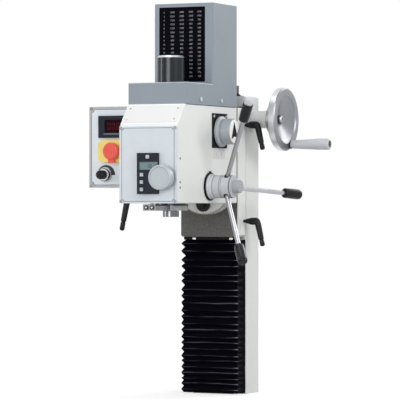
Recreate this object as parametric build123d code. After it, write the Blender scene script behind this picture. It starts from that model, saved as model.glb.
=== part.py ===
from build123d import *
import math
import os

# Bench mill drill: a dovetail column, a saddle that climbs it and a tilting gear head.
# Millimetres, +Z up, +X to the right, the head faces -Y.
# The origin is the centre of the column's foot.

# Fits
run_gap = 0.05
slide_gap = 0.3
seat_gap = 0.02
mesh_gap = 0.3

# Column
column_width = 128.0
column_depth = 62.0
column_height = 587.6
column_wall = 9.0
column_floor = 30.0
column_edge = 3.0
web_thickness = 8.0
screw_chamber_width = 52.0
foot_bolt_spacing_x = 92.0
foot_bolt_spacing_y = 36.0
foot_bolt_radius = 5.1
foot_bolt_depth = 24.0

# Dovetail way on the column's front
way_root_width = 66.0
way_height = 16.0
way_angle = 55.0

# Sheet cover on the column's top, with an angle bracket and its gusset
top_cover_thickness = 2.0
top_cover_margin_x = 5.0
top_cover_margin_y = 1.0
top_tab_x = 25.7
top_tab_thickness = 3.0
top_tab_height = 20.5
top_tab_width = 24.0
top_foot_run = 11.5
top_foot_thickness = 2.0
top_gusset_run = 10.0
top_gusset_rise = 8.0

# Saddle
saddle_width = 125.0
saddle_depth = 36.0
saddle_drop = 276.6
saddle_height = 254.5
saddle_back_gap = 1.0
saddle_edge = 2.0
saddle_foot_chamfer = 4.0
gib_thickness = 6.0
gib_end_margin = 4.0
saddle_travel = 236.0

# Bellows below the saddle
bellows_strip_height = 6.0
bellows_strip_inset = 7.0
bellows_strip_depth = 9.0
bellows_strip_front_set_back = 1.0
bellows_width = 124.0
bellows_front_reach = 35.0
bellows_wall = 3.0
bellows_foot_gap = 2.0
fold_count = 26
fold_depth = 7.0

# Z screw, its nut and the bevel gears under the handwheel
screw_radius = 10.0
screw_journal_radius = 7.5
screw_bearing_radius = 16.0
screw_bearing_width = 10.0
screw_shelf_thickness = 14.0
screw_shoulder_gap = 4.0
nut_width = 30.0
nut_height = 36.0
nut_rise = 119.0
nut_back_reach = 16.0
nut_slot_clearance = 2.0
nut_slot_overrun = 6.0
bevel_radius = 18.0
bevel_face = 8.0
bevel_hub_radius = 12.0
bevel_hub_length = 12.0
bevel_teeth = 16
bevel_tooth_slot = 2.4
bevel_tooth_depth = 2.2

# Handwheel on the column's right side
handwheel_drop = 44.2
handwheel_shaft_radius = 7.0
shaft_hole_clearance = 2.0
bracket_length = 39.0
bracket_radius = 17.5
bracket_flange_radius = 24.0
bracket_flange_thickness = 4.0
dial_radius = 30.0
dial_length = 11.5
dial_edge = 2.0
handwheel_radius = 62.5
handwheel_rim_depth = 17.0
handwheel_rim_width = 16.0
handwheel_rim_round = 2.5
handwheel_rim_offset = 7.0
handwheel_hub_radius = 26.0
handwheel_hub_length = 7.0
handwheel_bowl_radius = 13.0
handwheel_nut_radius = 7.4
handwheel_nut_height = 6.5
handwheel_nut_dome = 2.0
handwheel_washer_radius = 9.5
handwheel_washer_height = 1.5
grip_orbit_radius = 53.0
grip_angle = -68.5
grip_stud_radius = 5.0
grip_stud_seat = 9.0
grip_length = 83.5
grip_taper_length = 62.0
grip_end_round = 2.0
grip_small_radius = 8.0
grip_large_radius = 11.2
grip_cap_radius = 6.5
grip_cap_height = 2.0

# Clamp levers
lever_stud_radius = 3.0
lever_neck_length = 4.0
lever_hub_start_radius = 3.4
lever_hub_radius = 7.2
lever_hub_edge = 1.5
lever_hub_flare = 13.0
lever_arm_root_radius = 6.6
lever_arm_tip_radius = 5.0
lever_tip_bulge = 5.4
saddle_lever_hub = 36.0
saddle_lever_arm = 46.0
saddle_lever_lean = 11.0
saddle_lever_set_back = 28.0
saddle_lever_inset = 8.5
upper_lever_drop = 33.5
lower_lever_rise = 31.0
quill_lever_hub = 37.7
quill_lever_arm = 63.0
quill_lever_lean = 13.0
quill_lever_rise = 14.6
quill_lever_tip_gap = 0.8

# Head casting
head_width = 121.0
head_rise = 66.4
head_height = 188.4
head_nose_reach = 100.3
head_edge = 2.5
slant_drop = 38.5
slant_run = 35.9
head_wall = 10.0
head_rear_wall = 22.0
front_wall_set_back = 47.4
front_wall_thickness = 7.5
front_box_wall = 6.0
front_box_top_drop = 8.0
front_box_slot_width = 32.0
front_box_slot_depth = 26.0
front_box_slot_x = -31.0
gear_floor_rise = 108.6
rear_chamber_rise = 20.6
rear_chamber_set_back = 83.1
tilt_rise = 39.1
tilt_flange_radius = 61.0
tilt_flange_thickness = 26.0
tilt_spigot_radius = 25.0
tilt_spigot_length = 7.7
tilt_spigot_end_gap = 0.3
tilt_bolt_circle = 41.5
tilt_bolt_radius = 6.0
tilt_bolt_angles = (-90.0, 30.0, 150.0)
tilt_bolt_head_radius = 10.0
tilt_bolt_head_height = 5.4
tilt_bolt_stub = 4.0
tilt_slot_neck_depth = 8.0
tilt_slot_head_depth = 6.0
tilt_slot_clearance = 0.6
tilt_nut_radius = 14.3
tilt_nut_height = 6.0
tilt_nut_edge = 1.5
tilt_pocket_radius = 18.0
tilt_pocket_depth = 16.0

# Spindle, quill and depth rod
spindle_throat = 212.1
quill_radius = 30.0
quill_drop = 13.9
quill_travel = 50.0
quill_guide_length = 74.5
quill_bore_radius = 19.0
spindle_radius = 12.5
spindle_nose_radius = 15.5
spindle_nose_drop = 12.2
spindle_upper_radius = 12.0
spindle_top_rise = 34.2
socket_mouth_radius = 8.89
socket_end_radius = 7.14
socket_depth = 70.0
spindle_bearing_radius = 23.5
spindle_bearing_width = 13.0
drawbar_radius = 5.0
drawbar_hole_radius = 5.5
drawbar_end_gap = 6.0
drawbar_hex = 17.0
drawbar_hex_height = 15.0
depth_ring_radius = 33.5
depth_bracket_top_gap = 1.6
depth_bracket_width = 26.0
depth_bracket_set_back = 5.4
depth_rod_inset = 13.0
depth_rod_radius = 4.0
depth_rod_length = 122.5
depth_rod_hole_clearance = 0.6

# Quill feed on the right side of the head
feed_set_back = 45.9
feed_rise = 32.1
pinion_radius = 15.9
pinion_teeth = 20
pinion_tooth_depth = 3.6
pinion_width = 16.0
pinion_bore_clearance = 0.9
rack_pitch = 5.0
rack_slot = 2.6
rack_depth = 3.6
rack_width = 14.0
feed_shaft_radius = 9.0
feed_stub_radius = 7.0
worm_wheel_radius = 10.5
worm_wheel_width = 12.0
feed_flange_radius = 27.0
feed_flange_thickness = 3.0
feed_bush_length = 13.0
feed_index_width = 6.0
feed_index_height = 5.0
hub_collar_radius = 24.2
hub_collar_length = 5.0
hub_radius = 22.2
hub_length = 49.0
hub_edge = 1.0
hub_groove_depth = 1.2
hub_groove_width = 1.6
hub_groove_x = 28.0
hub_shaft_seat = 34.0
spoke_x = 28.6
spoke_cone_angle = 25.5
spoke_angles = (115.0, -5.0, -125.0)
spoke_radius = 4.5
spoke_root = 13.0
spoke_length = 139.5
spoke_thread = 14.0
spoke_thread_radius = 3.6
knob_length = 41.0
knob_radius = 10.0
knob_edge = 0.8
knob_cap_radius = 8.5
knob_cap_height = 4.0
knob_cap_edge = 1.0
clutch_stud_radius = 4.0
clutch_stud_length = 9.0
clutch_knob_gap = 3.0
clutch_knob_length = 10.9
clutch_knob_radius = 17.5
clutch_knob_end_radius = 12.0
clutch_knob_edge = 1.2
clutch_neck_radius = 13.0
clutch_flute_radius = 9.0
clutch_flute_depth = 2.6
clutch_flutes = 6
spring_pocket_radius = 22.0
spring_pocket_depth = 12.5
spring_cap_thickness = 2.2
spring_inner_radius = 9.0
spring_pitch = 3.2
spring_half_turns = 7
spring_strip = 1.0
spring_width = 8.0
feed_stub_end_gap = 1.0

# Fine feed knob on the front
fine_feed_x = 35.5
worm_radius = 5.7
worm_length = 30.0
worm_pocket_clearance = 0.6
worm_pocket_length = 56.0
fine_shaft_radius = 4.0
fine_collar_radius = 9.0
fine_collar_length = 7.6
fine_knob_radius = 23.5
fine_knob_length = 17.0
fine_knob_edge = 1.5
fine_knob_dish_radius = 20.0
fine_knob_dish_depth = 0.8

# Front panel, depth readout and its buttons
panel_thickness = 3.0
panel_edge_gap = 0.4
panel_drop = 3.8
panel_screw_inset = 3.9
panel_screw_radius = 1.6
panel_screw_head_radius = 3.0
panel_screw_head_height = 1.0
panel_screw_length = 12.0
readout_left = -20.5
readout_width = 44.5
readout_rise = 17.6
readout_height = 77.5
readout_thickness = 5.6
window_left_inset = 5.3
window_width = 38.0
window_drop = 17.1
window_height = 14.5
readout_window_depth = 0.8
button_size = 6.6
button_length = 4.4
button_stand = 1.6
button_travel = 0.8
button_spare_depth = 0.6
top_button_inset = 22.6
top_button_drop = 7.3
side_button_inset = 10.2
side_button_drop = 41.0
side_button_step = 13.9

# Gears above the quill
gear_module = 1.5
motor_teeth = 18
lay_large_teeth = 48
lay_small_teeth = 26
spindle_teeth = 58
tooth_depth = 2.9
tooth_root_start = 0.05
tooth_tip_start = 0.3
tooth_tip_end = 0.6
tooth_root_end = 0.85
low_gear_rise = 8.0
low_gear_width = 18.0
gear_spacing = 6.0
high_gear_width = 16.0
lay_shaft_radius = 7.0
lay_spacer_radius = 11.0
lay_bearing_radius = 13.0
lay_bearing_width = 8.0
sleeve_radius = 20.0
sleeve_rise = 5.0
sleeve_bearing_radius = 23.5
sleeve_bearing_width = 8.0
sleeve_boss_radius = 29.0
sleeve_boss_drop = 26.0

# Motor and its cover
motor_plate_thickness = 18.0
motor_plate_side_gap = 0.4
motor_radius = 46.0
motor_height = 144.0
motor_end = 22.0
motor_shaft_radius = 7.0
rotor_radius = 29.0
rotor_clearance = 1.0
cover_width = 125.0
cover_sheet = 1.5
cover_rear_reach = 58.9
cover_front_set_back = 5.5
cover_tall_depth = 115.3
cover_shelf_rise = 41.4
cover_tall_rise = 157.5
cover_edge = 3.0
cover_hole_radius = 20.0
cover_screw_insets = (170.3, 76.0)
cover_screw_lift = 10.0
cover_screw_radius = 2.0
cover_screw_head_radius = 4.0
cover_screw_head_height = 2.0
cover_screw_length = 12.0
cap_radius = 26.5
cap_height = 53.0
cap_wall = 3.0
cap_edge = 4.0

# Gear selector on the right side
selector_set_back = 90.3
selector_drop = 49.5
selector_plate_rise = 1.6
selector_plate_size = 67.0
selector_plate_thickness = 2.0
selector_base_radius = 29.6
selector_base_length = 8.0
selector_base_edge = 1.0
selector_base_slope = 3.0
selector_drum_radius = 25.0
selector_drum_length = 20.0
selector_face_radius = 23.8
selector_face_length = 2.0
selector_shaft_radius = 6.0
selector_arm_length = 22.0
selector_arm_width = 10.0
selector_arm_thickness = 6.0
selector_arm_gap = 1.5

# Control box on the left side
box_width = 116.0
box_set_back = 4.1
box_depth = 82.0
box_height = 157.0
box_top_drop = 1.0
box_sheet = 2.0
box_post = 9.0
meter_inset = 59.7
meter_width = 73.5
meter_drop = 17.8
meter_height = 42.8
meter_bezel = 7.0
meter_body_inset = 3.5
meter_body_depth = 48.0
meter_window_inset_x = 13.5
meter_window_drop = 7.4
meter_window_height = 25.4
meter_window_depth = 1.5
switch_inset = 59.5
switch_drop = 86.8
switch_width = 68.0
switch_height = 43.0
switch_depth = 13.0
switch_corner = 10.0
stop_radius = 16.6
stop_length = 10.0
stop_edge = 3.0
stop_stem_radius = 7.0
stop_travel = 5.0
stop_spare_gap = 1.5
stop_tongue_width = 13.0
stop_tongue_drop = 22.8
stop_tongue_thickness = 5.0
speed_inset = 37.1
speed_rise = 24.8
speed_knob_radius = 12.8
speed_knob_length = 28.0
speed_knob_stand = 1.0
speed_knob_edge = 1.0
speed_grip_radius = 8.8
speed_grip_length = 16.0
speed_shaft_radius = 3.0
speed_shaft_length = 12.0

# Places worked out from the sizes above
column_front = -column_depth / 2
column_side = column_width / 2
saddle_back = column_front - saddle_back_gap
saddle_front = saddle_back - saddle_depth
saddle_side = saddle_width / 2
saddle_bottom = column_height - saddle_drop
saddle_top = saddle_bottom + saddle_height
nut_bottom = saddle_bottom + nut_rise
bellows_top = saddle_bottom - bellows_strip_height
upper_lever_height = saddle_top - upper_lever_drop
lower_lever_height = saddle_bottom + lower_lever_rise

handwheel_height = column_height - handwheel_drop
bracket_end = column_side + bracket_length
dial_end = bracket_end + slide_gap + dial_length
wheel_hub_end = dial_end + handwheel_hub_length
wheel_face = dial_end + handwheel_rim_offset + handwheel_rim_width
grip_y = grip_orbit_radius * math.cos(math.radians(grip_angle))
grip_z = handwheel_height + grip_orbit_radius * math.sin(math.radians(grip_angle))
bevel_back = handwheel_height - bevel_radius
bevel_hub_bottom = bevel_back - bevel_hub_length
shelf_top = bevel_hub_bottom - slide_gap
shelf_bottom = shelf_top - screw_shelf_thickness

spindle_y = column_front - spindle_throat
head_side = head_width / 2
head_rear = saddle_front - slide_gap
head_front = spindle_y - head_nose_reach
head_bottom = saddle_bottom + head_rise
head_top = head_bottom + head_height
slant_foot = head_top - slant_drop
panel_top = slant_foot - panel_drop
panel_back = head_front + panel_thickness
front_wall_front = head_front + front_wall_set_back
front_box_top = panel_top - front_box_top_drop
gear_floor = head_bottom + gear_floor_rise
rear_chamber_floor = head_bottom + rear_chamber_rise
rear_chamber_front = spindle_y + rear_chamber_set_back
tilt_height = head_bottom + tilt_rise
quill_lever_height = head_bottom + quill_lever_rise

quill_bottom = head_bottom - quill_drop
quill_top = quill_bottom + quill_travel + quill_guide_length
spindle_nose_bottom = quill_bottom - spindle_nose_drop
spindle_top = head_top + spindle_top_rise
depth_bracket_front = head_front + depth_bracket_set_back
depth_rod_y = depth_bracket_front + depth_rod_inset
depth_rod_top = quill_bottom + depth_rod_length

feed_y = spindle_y + feed_set_back
feed_height = head_bottom + feed_rise
hub_start = head_side + feed_flange_thickness + slide_gap
hub_end = hub_start + hub_length
fine_feed_height = feed_height + worm_wheel_radius + worm_radius + mesh_gap

readout_right = readout_left + readout_width
readout_bottom = head_bottom + readout_rise
readout_top = readout_bottom + readout_height
button_pocket_depth = button_length - button_stand + button_travel + button_spare_depth

lay_spindle_distance = gear_module * (lay_small_teeth + spindle_teeth) / 2
motor_lay_distance = gear_module * (motor_teeth + lay_large_teeth) / 2
lay_y = spindle_y + lay_spindle_distance
motor_y = lay_y + motor_lay_distance
low_gear_bottom = gear_floor + low_gear_rise
high_gear_bottom = low_gear_bottom + low_gear_width + gear_spacing
sleeve_bottom = gear_floor + sleeve_rise

plate_top = head_top + motor_plate_thickness
cover_rear = motor_y + cover_rear_reach
cover_front = head_front + slant_run + cover_front_set_back
cover_step = cover_rear - cover_tall_depth
cover_shelf = head_top + cover_shelf_rise
cover_top = cover_shelf + cover_tall_rise
cover_screw_places = [cover_rear - inset for inset in cover_screw_insets]

selector_y = spindle_y + selector_set_back
selector_height = head_top - selector_drop
box_left = -head_side - box_width
box_front = spindle_y + box_set_back
box_back = box_front + box_depth
box_top = head_top - box_top_drop
box_bottom = box_top - box_height
control_face = box_front - panel_thickness
meter_centre_x = box_left + meter_inset
meter_top = box_top - meter_drop
meter_bottom = meter_top - meter_height
switch_centre_x = box_left + switch_inset
switch_centre_height = box_top - switch_drop
stop_stand = stop_travel + stop_spare_gap
speed_x = box_left + speed_inset
speed_height = box_bottom + speed_rise
foot_bolt_places = [
    (x * foot_bolt_spacing_x / 2, y * foot_bolt_spacing_y / 2) for x in (-1, 1) for y in (-1, 1)
]


def block(x_span, y_span, z_span):
    """Box between a low and a high limit on each axis."""
    spans = (x_span, y_span, z_span)
    size = [high - low for low, high in spans]
    centre = [(high + low) / 2 for low, high in spans]
    return Pos(*centre) * Box(*size)


def rod_x(radius, x_span, y, z):
    """Cylinder along X between two limits."""
    low, high = x_span
    return Pos((low + high) / 2, y, z) * Rot(0, 90, 0) * Cylinder(radius, high - low)


def rod_y(radius, y_span, x, z):
    """Cylinder along Y between two limits."""
    low, high = y_span
    return Pos(x, (low + high) / 2, z) * Rot(90, 0, 0) * Cylinder(radius, high - low)


def rod_z(radius, z_span, x=0.0, y=0.0):
    """Cylinder along Z between two limits."""
    low, high = z_span
    return Pos(x, y, (low + high) / 2) * Cylinder(radius, high - low)


def ring_z(outer_radius, inner_radius, z_span, x=0.0, y=0.0):
    """Plain ring about a vertical axis."""
    return rod_z(outer_radius, z_span, x, y) - rod_z(inner_radius, z_span, x, y)


def prism_x(outline, x_span):
    """Outline of (y, z) points pushed along X."""
    face = make_face(Polyline(*outline, close=True))
    return extrude(Plane.YZ.offset(x_span[0]) * face, x_span[1] - x_span[0])


def prism_z(outline, z_span):
    """Outline of (x, y) points pushed along Z."""
    face = make_face(Polyline(*outline, close=True))
    return extrude(Plane.XY.offset(z_span[0]) * face, z_span[1] - z_span[0])


def turned_x(outline, y, z):
    """Outline of (x, radius) points turned about an axis along X."""
    face = make_face(Polyline(*outline, close=True))
    return Pos(0, y, z) * revolve(face, Axis.X)


def gear(teeth, tip_radius, depth, z_span, x=0.0, y=0.0):
    """Spur gear with straight-sided teeth about a vertical axis."""
    step = 2 * math.pi / teeth
    root_radius = tip_radius - depth
    outline = []
    for tooth in range(teeth):
        corners = (
            (root_radius, tooth_root_start),
            (tip_radius, tooth_tip_start),
            (tip_radius, tooth_tip_end),
            (root_radius, tooth_root_end),
        )
        for radius, share in corners:
            angle = (tooth + share) * step
            outline.append((radius * math.cos(angle), radius * math.sin(angle)))
    return Pos(x, y, 0) * prism_z(outline, z_span)


def way_half_width(y):
    """Half width of the dovetail at a depth in front of the column."""
    return way_root_width / 2 + (column_front - y) / math.tan(math.radians(way_angle))


def column():
    """Hollow cast column with its dovetail, screw shelf and foot holes."""
    half_depth = column_depth / 2
    way_front = column_front - way_height
    body = block((-column_side, column_side), (-half_depth, half_depth), (0, column_height))
    body = fillet(body.edges().filter_by(Axis.Z), column_edge)
    way_outline = [
        (-way_half_width(column_front), column_front),
        (-way_half_width(way_front), way_front),
        (way_half_width(way_front), way_front),
        (way_half_width(column_front), column_front),
    ]
    body += prism_z(way_outline, (0, column_height))
    cavity_depth = half_depth - column_wall
    chamber = screw_chamber_width / 2
    for z_span in ((column_floor, shelf_bottom), (shelf_top, column_height)):
        body -= block((-chamber, chamber), (-cavity_depth, cavity_depth), z_span)
    side_inner = chamber + web_thickness
    side_outer = column_side - column_wall
    for x_span in ((side_inner, side_outer), (-side_outer, -side_inner)):
        body -= block(x_span, (-cavity_depth, cavity_depth), (column_floor, column_height))
    slot_half = nut_width / 2 + nut_slot_clearance
    slot_bottom = nut_bottom - saddle_travel - nut_slot_overrun
    slot_top = nut_bottom + nut_height + nut_slot_overrun
    body -= block((-slot_half, slot_half), (way_front, -cavity_depth), (slot_bottom, slot_top))
    body -= rod_z(screw_bearing_radius, (column_floor - screw_bearing_width, column_floor))
    body -= rod_z(screw_bearing_radius, (shelf_top - screw_bearing_width, shelf_top))
    body -= rod_z(screw_journal_radius + shaft_hole_clearance, (shelf_bottom, shelf_top))
    body -= rod_x(bevel_radius + shaft_hole_clearance, (0, column_side), 0, handwheel_height)
    for x, y in foot_bolt_places:
        body -= rod_z(foot_bolt_radius, (0, foot_bolt_depth), x, y)
    return body


def column_top_cover():
    """Sheet cover on the column's top with an angle bracket and its gusset."""
    base_top = column_height + top_cover_thickness
    foot_top = base_top + top_foot_thickness
    half_x = column_side - top_cover_margin_x
    half_y = column_depth / 2 - top_cover_margin_y
    plate = block((-half_x, half_x), (-half_y, half_y), (column_height, base_top))
    tab_y = (-top_tab_width / 2, top_tab_width / 2)
    tab_end = top_tab_x + top_tab_thickness
    tab = block((top_tab_x, tab_end), tab_y, (base_top, foot_top + top_tab_height))
    foot = block((tab_end, tab_end + top_foot_run), tab_y, (base_top, foot_top))
    gusset = make_face(
        Polyline(
            (tab_end, foot_top),
            (tab_end + top_gusset_run, foot_top),
            (tab_end, foot_top + top_gusset_rise),
            close=True,
        )
    )
    rib = extrude(Plane.XZ.offset(-top_tab_thickness / 2) * gusset, top_tab_thickness)
    return plate + tab + foot + rib


def z_screw_bearings():
    """Two ball bearings that carry the Z screw."""
    inner = screw_journal_radius + run_gap
    outer = screw_bearing_radius - seat_gap
    lower = ring_z(outer, inner, (column_floor - screw_bearing_width, column_floor))
    upper = ring_z(outer, inner, (shelf_top - screw_bearing_width, shelf_top))
    return Compound(children=[lower, upper])


def z_leadscrew():
    """Vertical screw that lifts the saddle."""
    journal_bottom = column_floor - screw_bearing_width + slide_gap
    thread_span = (column_floor + screw_shoulder_gap, shelf_bottom - screw_shoulder_gap)
    journal_top = bevel_back + bevel_face
    return rod_z(screw_radius, thread_span) + rod_z(
        screw_journal_radius, (journal_bottom, journal_top)
    )


def bevel_blank(bore_radius):
    """Straight bevel gear with its large end at height zero and its hub below."""
    top_radius = bevel_radius - bevel_face
    blank = Pos(0, 0, bevel_face / 2) * Cone(
        bevel_radius - mesh_gap, top_radius - mesh_gap, bevel_face
    )
    slot = Pos(bevel_radius, 0, 0) * Rot(0, -45, 0) * Box(
        bevel_tooth_depth * 2, bevel_tooth_slot, bevel_face * 4
    )
    for tooth in range(bevel_teeth):
        blank -= Rot(0, 0, tooth * 360 / bevel_teeth) * slot
    blank += rod_z(bevel_hub_radius, (-bevel_hub_length, 0))
    return blank - rod_z(bore_radius, (-bevel_hub_length, bevel_face))


def z_bevel_gear():
    """Bevel gear on top of the Z screw."""
    return Pos(0, 0, bevel_back) * bevel_blank(screw_journal_radius + seat_gap)


def handwheel_shaft():
    """Handwheel shaft with the bevel pinion on its inner end."""
    shaft = rod_x(
        handwheel_shaft_radius,
        (bevel_radius - bevel_face, wheel_hub_end),
        0,
        handwheel_height,
    )
    pinion = Pos(bevel_radius, 0, handwheel_height) * Rot(0, -90, 0) * bevel_blank(
        handwheel_shaft_radius
    )
    return shaft + pinion


def handwheel_bracket():
    """Cream boss on the column's side that carries the handwheel shaft."""
    spigot_radius = bevel_radius + shaft_hole_clearance - seat_gap
    outline = [
        (column_side - column_wall, handwheel_shaft_radius + run_gap),
        (column_side - column_wall, spigot_radius),
        (column_side, spigot_radius),
        (column_side, bracket_flange_radius),
        (column_side + bracket_flange_thickness, bracket_flange_radius),
        (column_side + bracket_flange_thickness, bracket_radius),
        (bracket_end, bracket_radius),
        (bracket_end, handwheel_shaft_radius + run_gap),
    ]
    return turned_x(outline, 0, handwheel_height)


def handwheel_dial():
    """Graduated ring behind the handwheel."""
    start = bracket_end + slide_gap
    bore = handwheel_shaft_radius + seat_gap
    outline = [
        (start, bore),
        (start, dial_radius - dial_edge),
        (start + dial_edge, dial_radius),
        (dial_end, dial_radius),
        (dial_end, bore),
    ]
    return turned_x(outline, 0, handwheel_height)


def handwheel():
    """Deep dished cast handwheel with a flat rim."""
    bore = handwheel_shaft_radius + seat_gap
    rim_inner = handwheel_radius - handwheel_rim_depth
    rim_back = wheel_face - handwheel_rim_width
    rounding = handwheel_rim_round
    outline = [
        (dial_end, bore),
        (dial_end, handwheel_hub_radius),
        (rim_back, rim_inner + rounding),
        (rim_back, handwheel_radius - rounding),
        (rim_back + rounding, handwheel_radius),
        (wheel_face - rounding, handwheel_radius),
        (wheel_face, handwheel_radius - rounding),
        (wheel_face, rim_inner + rounding),
        (wheel_face - rounding, rim_inner),
        (wheel_hub_end, handwheel_bowl_radius),
        (wheel_hub_end, bore),
    ]
    wheel = turned_x(outline, 0, handwheel_height)
    return wheel - rod_x(
        grip_stud_radius + seat_gap, (wheel_face - grip_stud_seat, wheel_face), grip_y, grip_z
    )


def handwheel_nut():
    """Domed nut that holds the handwheel on its shaft."""
    washer_top = wheel_hub_end + handwheel_washer_height
    nut_top = wheel_hub_end + handwheel_nut_height
    outline = [
        (wheel_hub_end, 0),
        (wheel_hub_end, handwheel_washer_radius),
        (washer_top, handwheel_washer_radius),
        (washer_top, handwheel_nut_radius),
        (nut_top - handwheel_nut_dome, handwheel_nut_radius),
        (nut_top, handwheel_nut_radius - handwheel_nut_dome),
        (nut_top, 0),
    ]
    return turned_x(outline, 0, handwheel_height)


def grip_span():
    """X limits of the turning grip."""
    start = wheel_face + slide_gap
    return start, start + grip_length


def handwheel_grip():
    """Tapered grip that spins on its stud, with a seat for the stud's head in its end."""
    start, end = grip_span()
    bore = grip_stud_radius + run_gap
    seat_radius = grip_cap_radius + slide_gap
    seat = end - grip_cap_height - slide_gap
    outline = [
        (start, bore),
        (start, grip_small_radius),
        (start + grip_taper_length, grip_large_radius),
        (end - grip_end_round, grip_large_radius),
        (end, grip_large_radius - grip_end_round),
        (end, seat_radius),
        (seat, seat_radius),
        (seat, bore),
    ]
    return turned_x(outline, grip_y, grip_z)


def handwheel_grip_stud():
    """Shoulder screw that carries the grip, its head flush with the grip's end."""
    end = grip_span()[1]
    head_start = end - grip_cap_height
    shank = rod_x(grip_stud_radius, (wheel_face - grip_stud_seat, head_start), grip_y, grip_z)
    return shank + rod_x(grip_cap_radius, (head_start, end), grip_y, grip_z)


def saddle():
    """Z slide with the dovetail groove behind and the tilt slot in front."""
    body = block(
        (-saddle_side, saddle_side), (saddle_front, saddle_back), (saddle_bottom, saddle_top)
    )
    foot_edges = body.faces().sort_by(Axis.Z)[0].edges().filter_by(Axis.Y)
    body = chamfer(foot_edges, saddle_foot_chamfer)
    body = fillet(body.faces().sort_by(Axis.Y)[0].edges().filter_by(Axis.Z), saddle_edge)
    floor_y = column_front - way_height - slide_gap
    right_gap = slide_gap + gib_thickness
    groove = [
        (-way_half_width(column_front) - slide_gap, column_front),
        (-way_half_width(floor_y) - slide_gap, floor_y),
        (way_half_width(floor_y) + right_gap, floor_y),
        (way_half_width(column_front) + right_gap, column_front),
    ]
    body -= prism_z(groove, (saddle_bottom, saddle_top))
    spigot_end = saddle_front + tilt_spigot_length + tilt_spigot_end_gap
    body -= rod_y(tilt_spigot_radius + run_gap, (saddle_front, spigot_end), 0, tilt_height)
    neck_half = tilt_bolt_radius + tilt_slot_clearance
    head_half = tilt_bolt_head_radius + tilt_slot_clearance
    neck_end = saddle_front + tilt_slot_neck_depth
    for half, y_span in (
        (neck_half, (saddle_front, neck_end)),
        (head_half, (neck_end, neck_end + tilt_slot_head_depth)),
    ):
        outer = rod_y(tilt_bolt_circle + half, y_span, 0, tilt_height)
        body -= outer - rod_y(tilt_bolt_circle - half, y_span, 0, tilt_height)
    lever_y = saddle_front + saddle_lever_set_back
    for height in (lower_lever_height, upper_lever_height):
        body -= rod_x(
            lever_stud_radius + run_gap,
            (saddle_side - saddle_lever_inset - slide_gap, saddle_side),
            lever_y,
            height,
        )
    return body


def saddle_gib():
    """Taper strip on the right flank of the dovetail."""
    floor_y = column_front - way_height - slide_gap
    near = slide_gap
    far = slide_gap + gib_thickness - seat_gap
    outline = [
        (way_half_width(saddle_back) + near, saddle_back),
        (way_half_width(floor_y + seat_gap) + near, floor_y + seat_gap),
        (way_half_width(floor_y + seat_gap) + far, floor_y + seat_gap),
        (way_half_width(saddle_back) + far, saddle_back),
    ]
    return prism_z(outline, (saddle_bottom + gib_end_margin, saddle_top - gib_end_margin))


def z_nut():
    """Nut block that reaches from the saddle through the column's slot."""
    floor_y = column_front - way_height - slide_gap
    body = block(
        (-nut_width / 2, nut_width / 2),
        (floor_y, nut_back_reach),
        (nut_bottom, nut_bottom + nut_height),
    )
    return body - rod_z(screw_radius + run_gap, (nut_bottom, nut_bottom + nut_height))


def bellows_top_strip():
    """Black bar that holds the bellows under the saddle."""
    front = saddle_front + bellows_strip_front_set_back
    return block(
        (bellows_strip_inset - saddle_side, saddle_side - bellows_strip_inset),
        (front, front + bellows_strip_depth),
        (bellows_top, saddle_bottom),
    )


def bellows():
    """Folded way cover between the saddle and the column's foot."""
    back = column_front - slide_gap
    sections = []
    for level in range(2 * fold_count + 1):
        inset = 0.0 if level % 2 else fold_depth
        height = bellows_foot_gap + (bellows_top - bellows_foot_gap) * level / (2 * fold_count)
        depth = bellows_front_reach - inset
        outline = Rectangle(bellows_width - 2 * inset, depth)
        sections.append(Pos(0, back - depth / 2, height) * outline)
    body = loft(sections, ruled=True)
    inner_half = bellows_width / 2 - fold_depth - bellows_wall
    inner_front = back - bellows_front_reach + fold_depth + bellows_wall
    return body - block((-inner_half, inner_half), (inner_front, back), (0, bellows_top))


def clamp_lever(hub_length, arm_length, lean, inset):
    """Clamp lever with its stud along X from the origin and its arm hanging down."""
    lever = rod_x(lever_stud_radius, (-inset, lever_neck_length), 0, 0)
    outline = [
        (lever_neck_length, 0),
        (lever_neck_length, lever_hub_start_radius),
        (lever_neck_length + lever_hub_flare, lever_hub_radius),
        (hub_length - lever_hub_edge, lever_hub_radius),
        (hub_length, lever_hub_radius - lever_hub_edge),
        (hub_length, 0),
    ]
    lever += turned_x(outline, 0, 0)
    root = Vector(hub_length - lever_arm_root_radius, 0, 0)
    along = Vector(lean, 0, -arm_length)
    arm = Cone(
        lever_arm_root_radius,
        lever_arm_tip_radius,
        along.length,
        align=(Align.CENTER, Align.CENTER, Align.MIN),
    )
    lever += Plane(origin=root, z_dir=along) * arm
    tip = root + along
    return lever + Pos(*tip) * Sphere(lever_tip_bulge)


def z_clamp(height):
    """Clamp lever on the saddle's right side."""
    lever = clamp_lever(saddle_lever_hub, saddle_lever_arm, saddle_lever_lean, saddle_lever_inset)
    return Pos(saddle_side, saddle_front + saddle_lever_set_back, height) * lever


def quill_lock_lever():
    """Clamp lever on the head's left side that grips the quill."""
    inset = head_side - quill_radius - quill_lever_tip_gap
    lever = clamp_lever(quill_lever_hub, quill_lever_arm, quill_lever_lean, inset)
    return Pos(-head_side, spindle_y, quill_lever_height) * mirror(lever, Plane.YZ)


def tilt_bolt_places():
    """X and Z of each tilt bolt, the Y of its nut's seat, and if the nut's pocket opens downwards."""
    places = []
    for angle in tilt_bolt_angles:
        x = tilt_bolt_circle * math.cos(math.radians(angle))
        z = tilt_height + tilt_bolt_circle * math.sin(math.radians(angle))
        open_below = z - tilt_pocket_radius < head_bottom
        seat = head_rear - (tilt_flange_thickness if open_below else head_rear_wall)
        places.append((x, z, seat, open_below))
    return places


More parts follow.
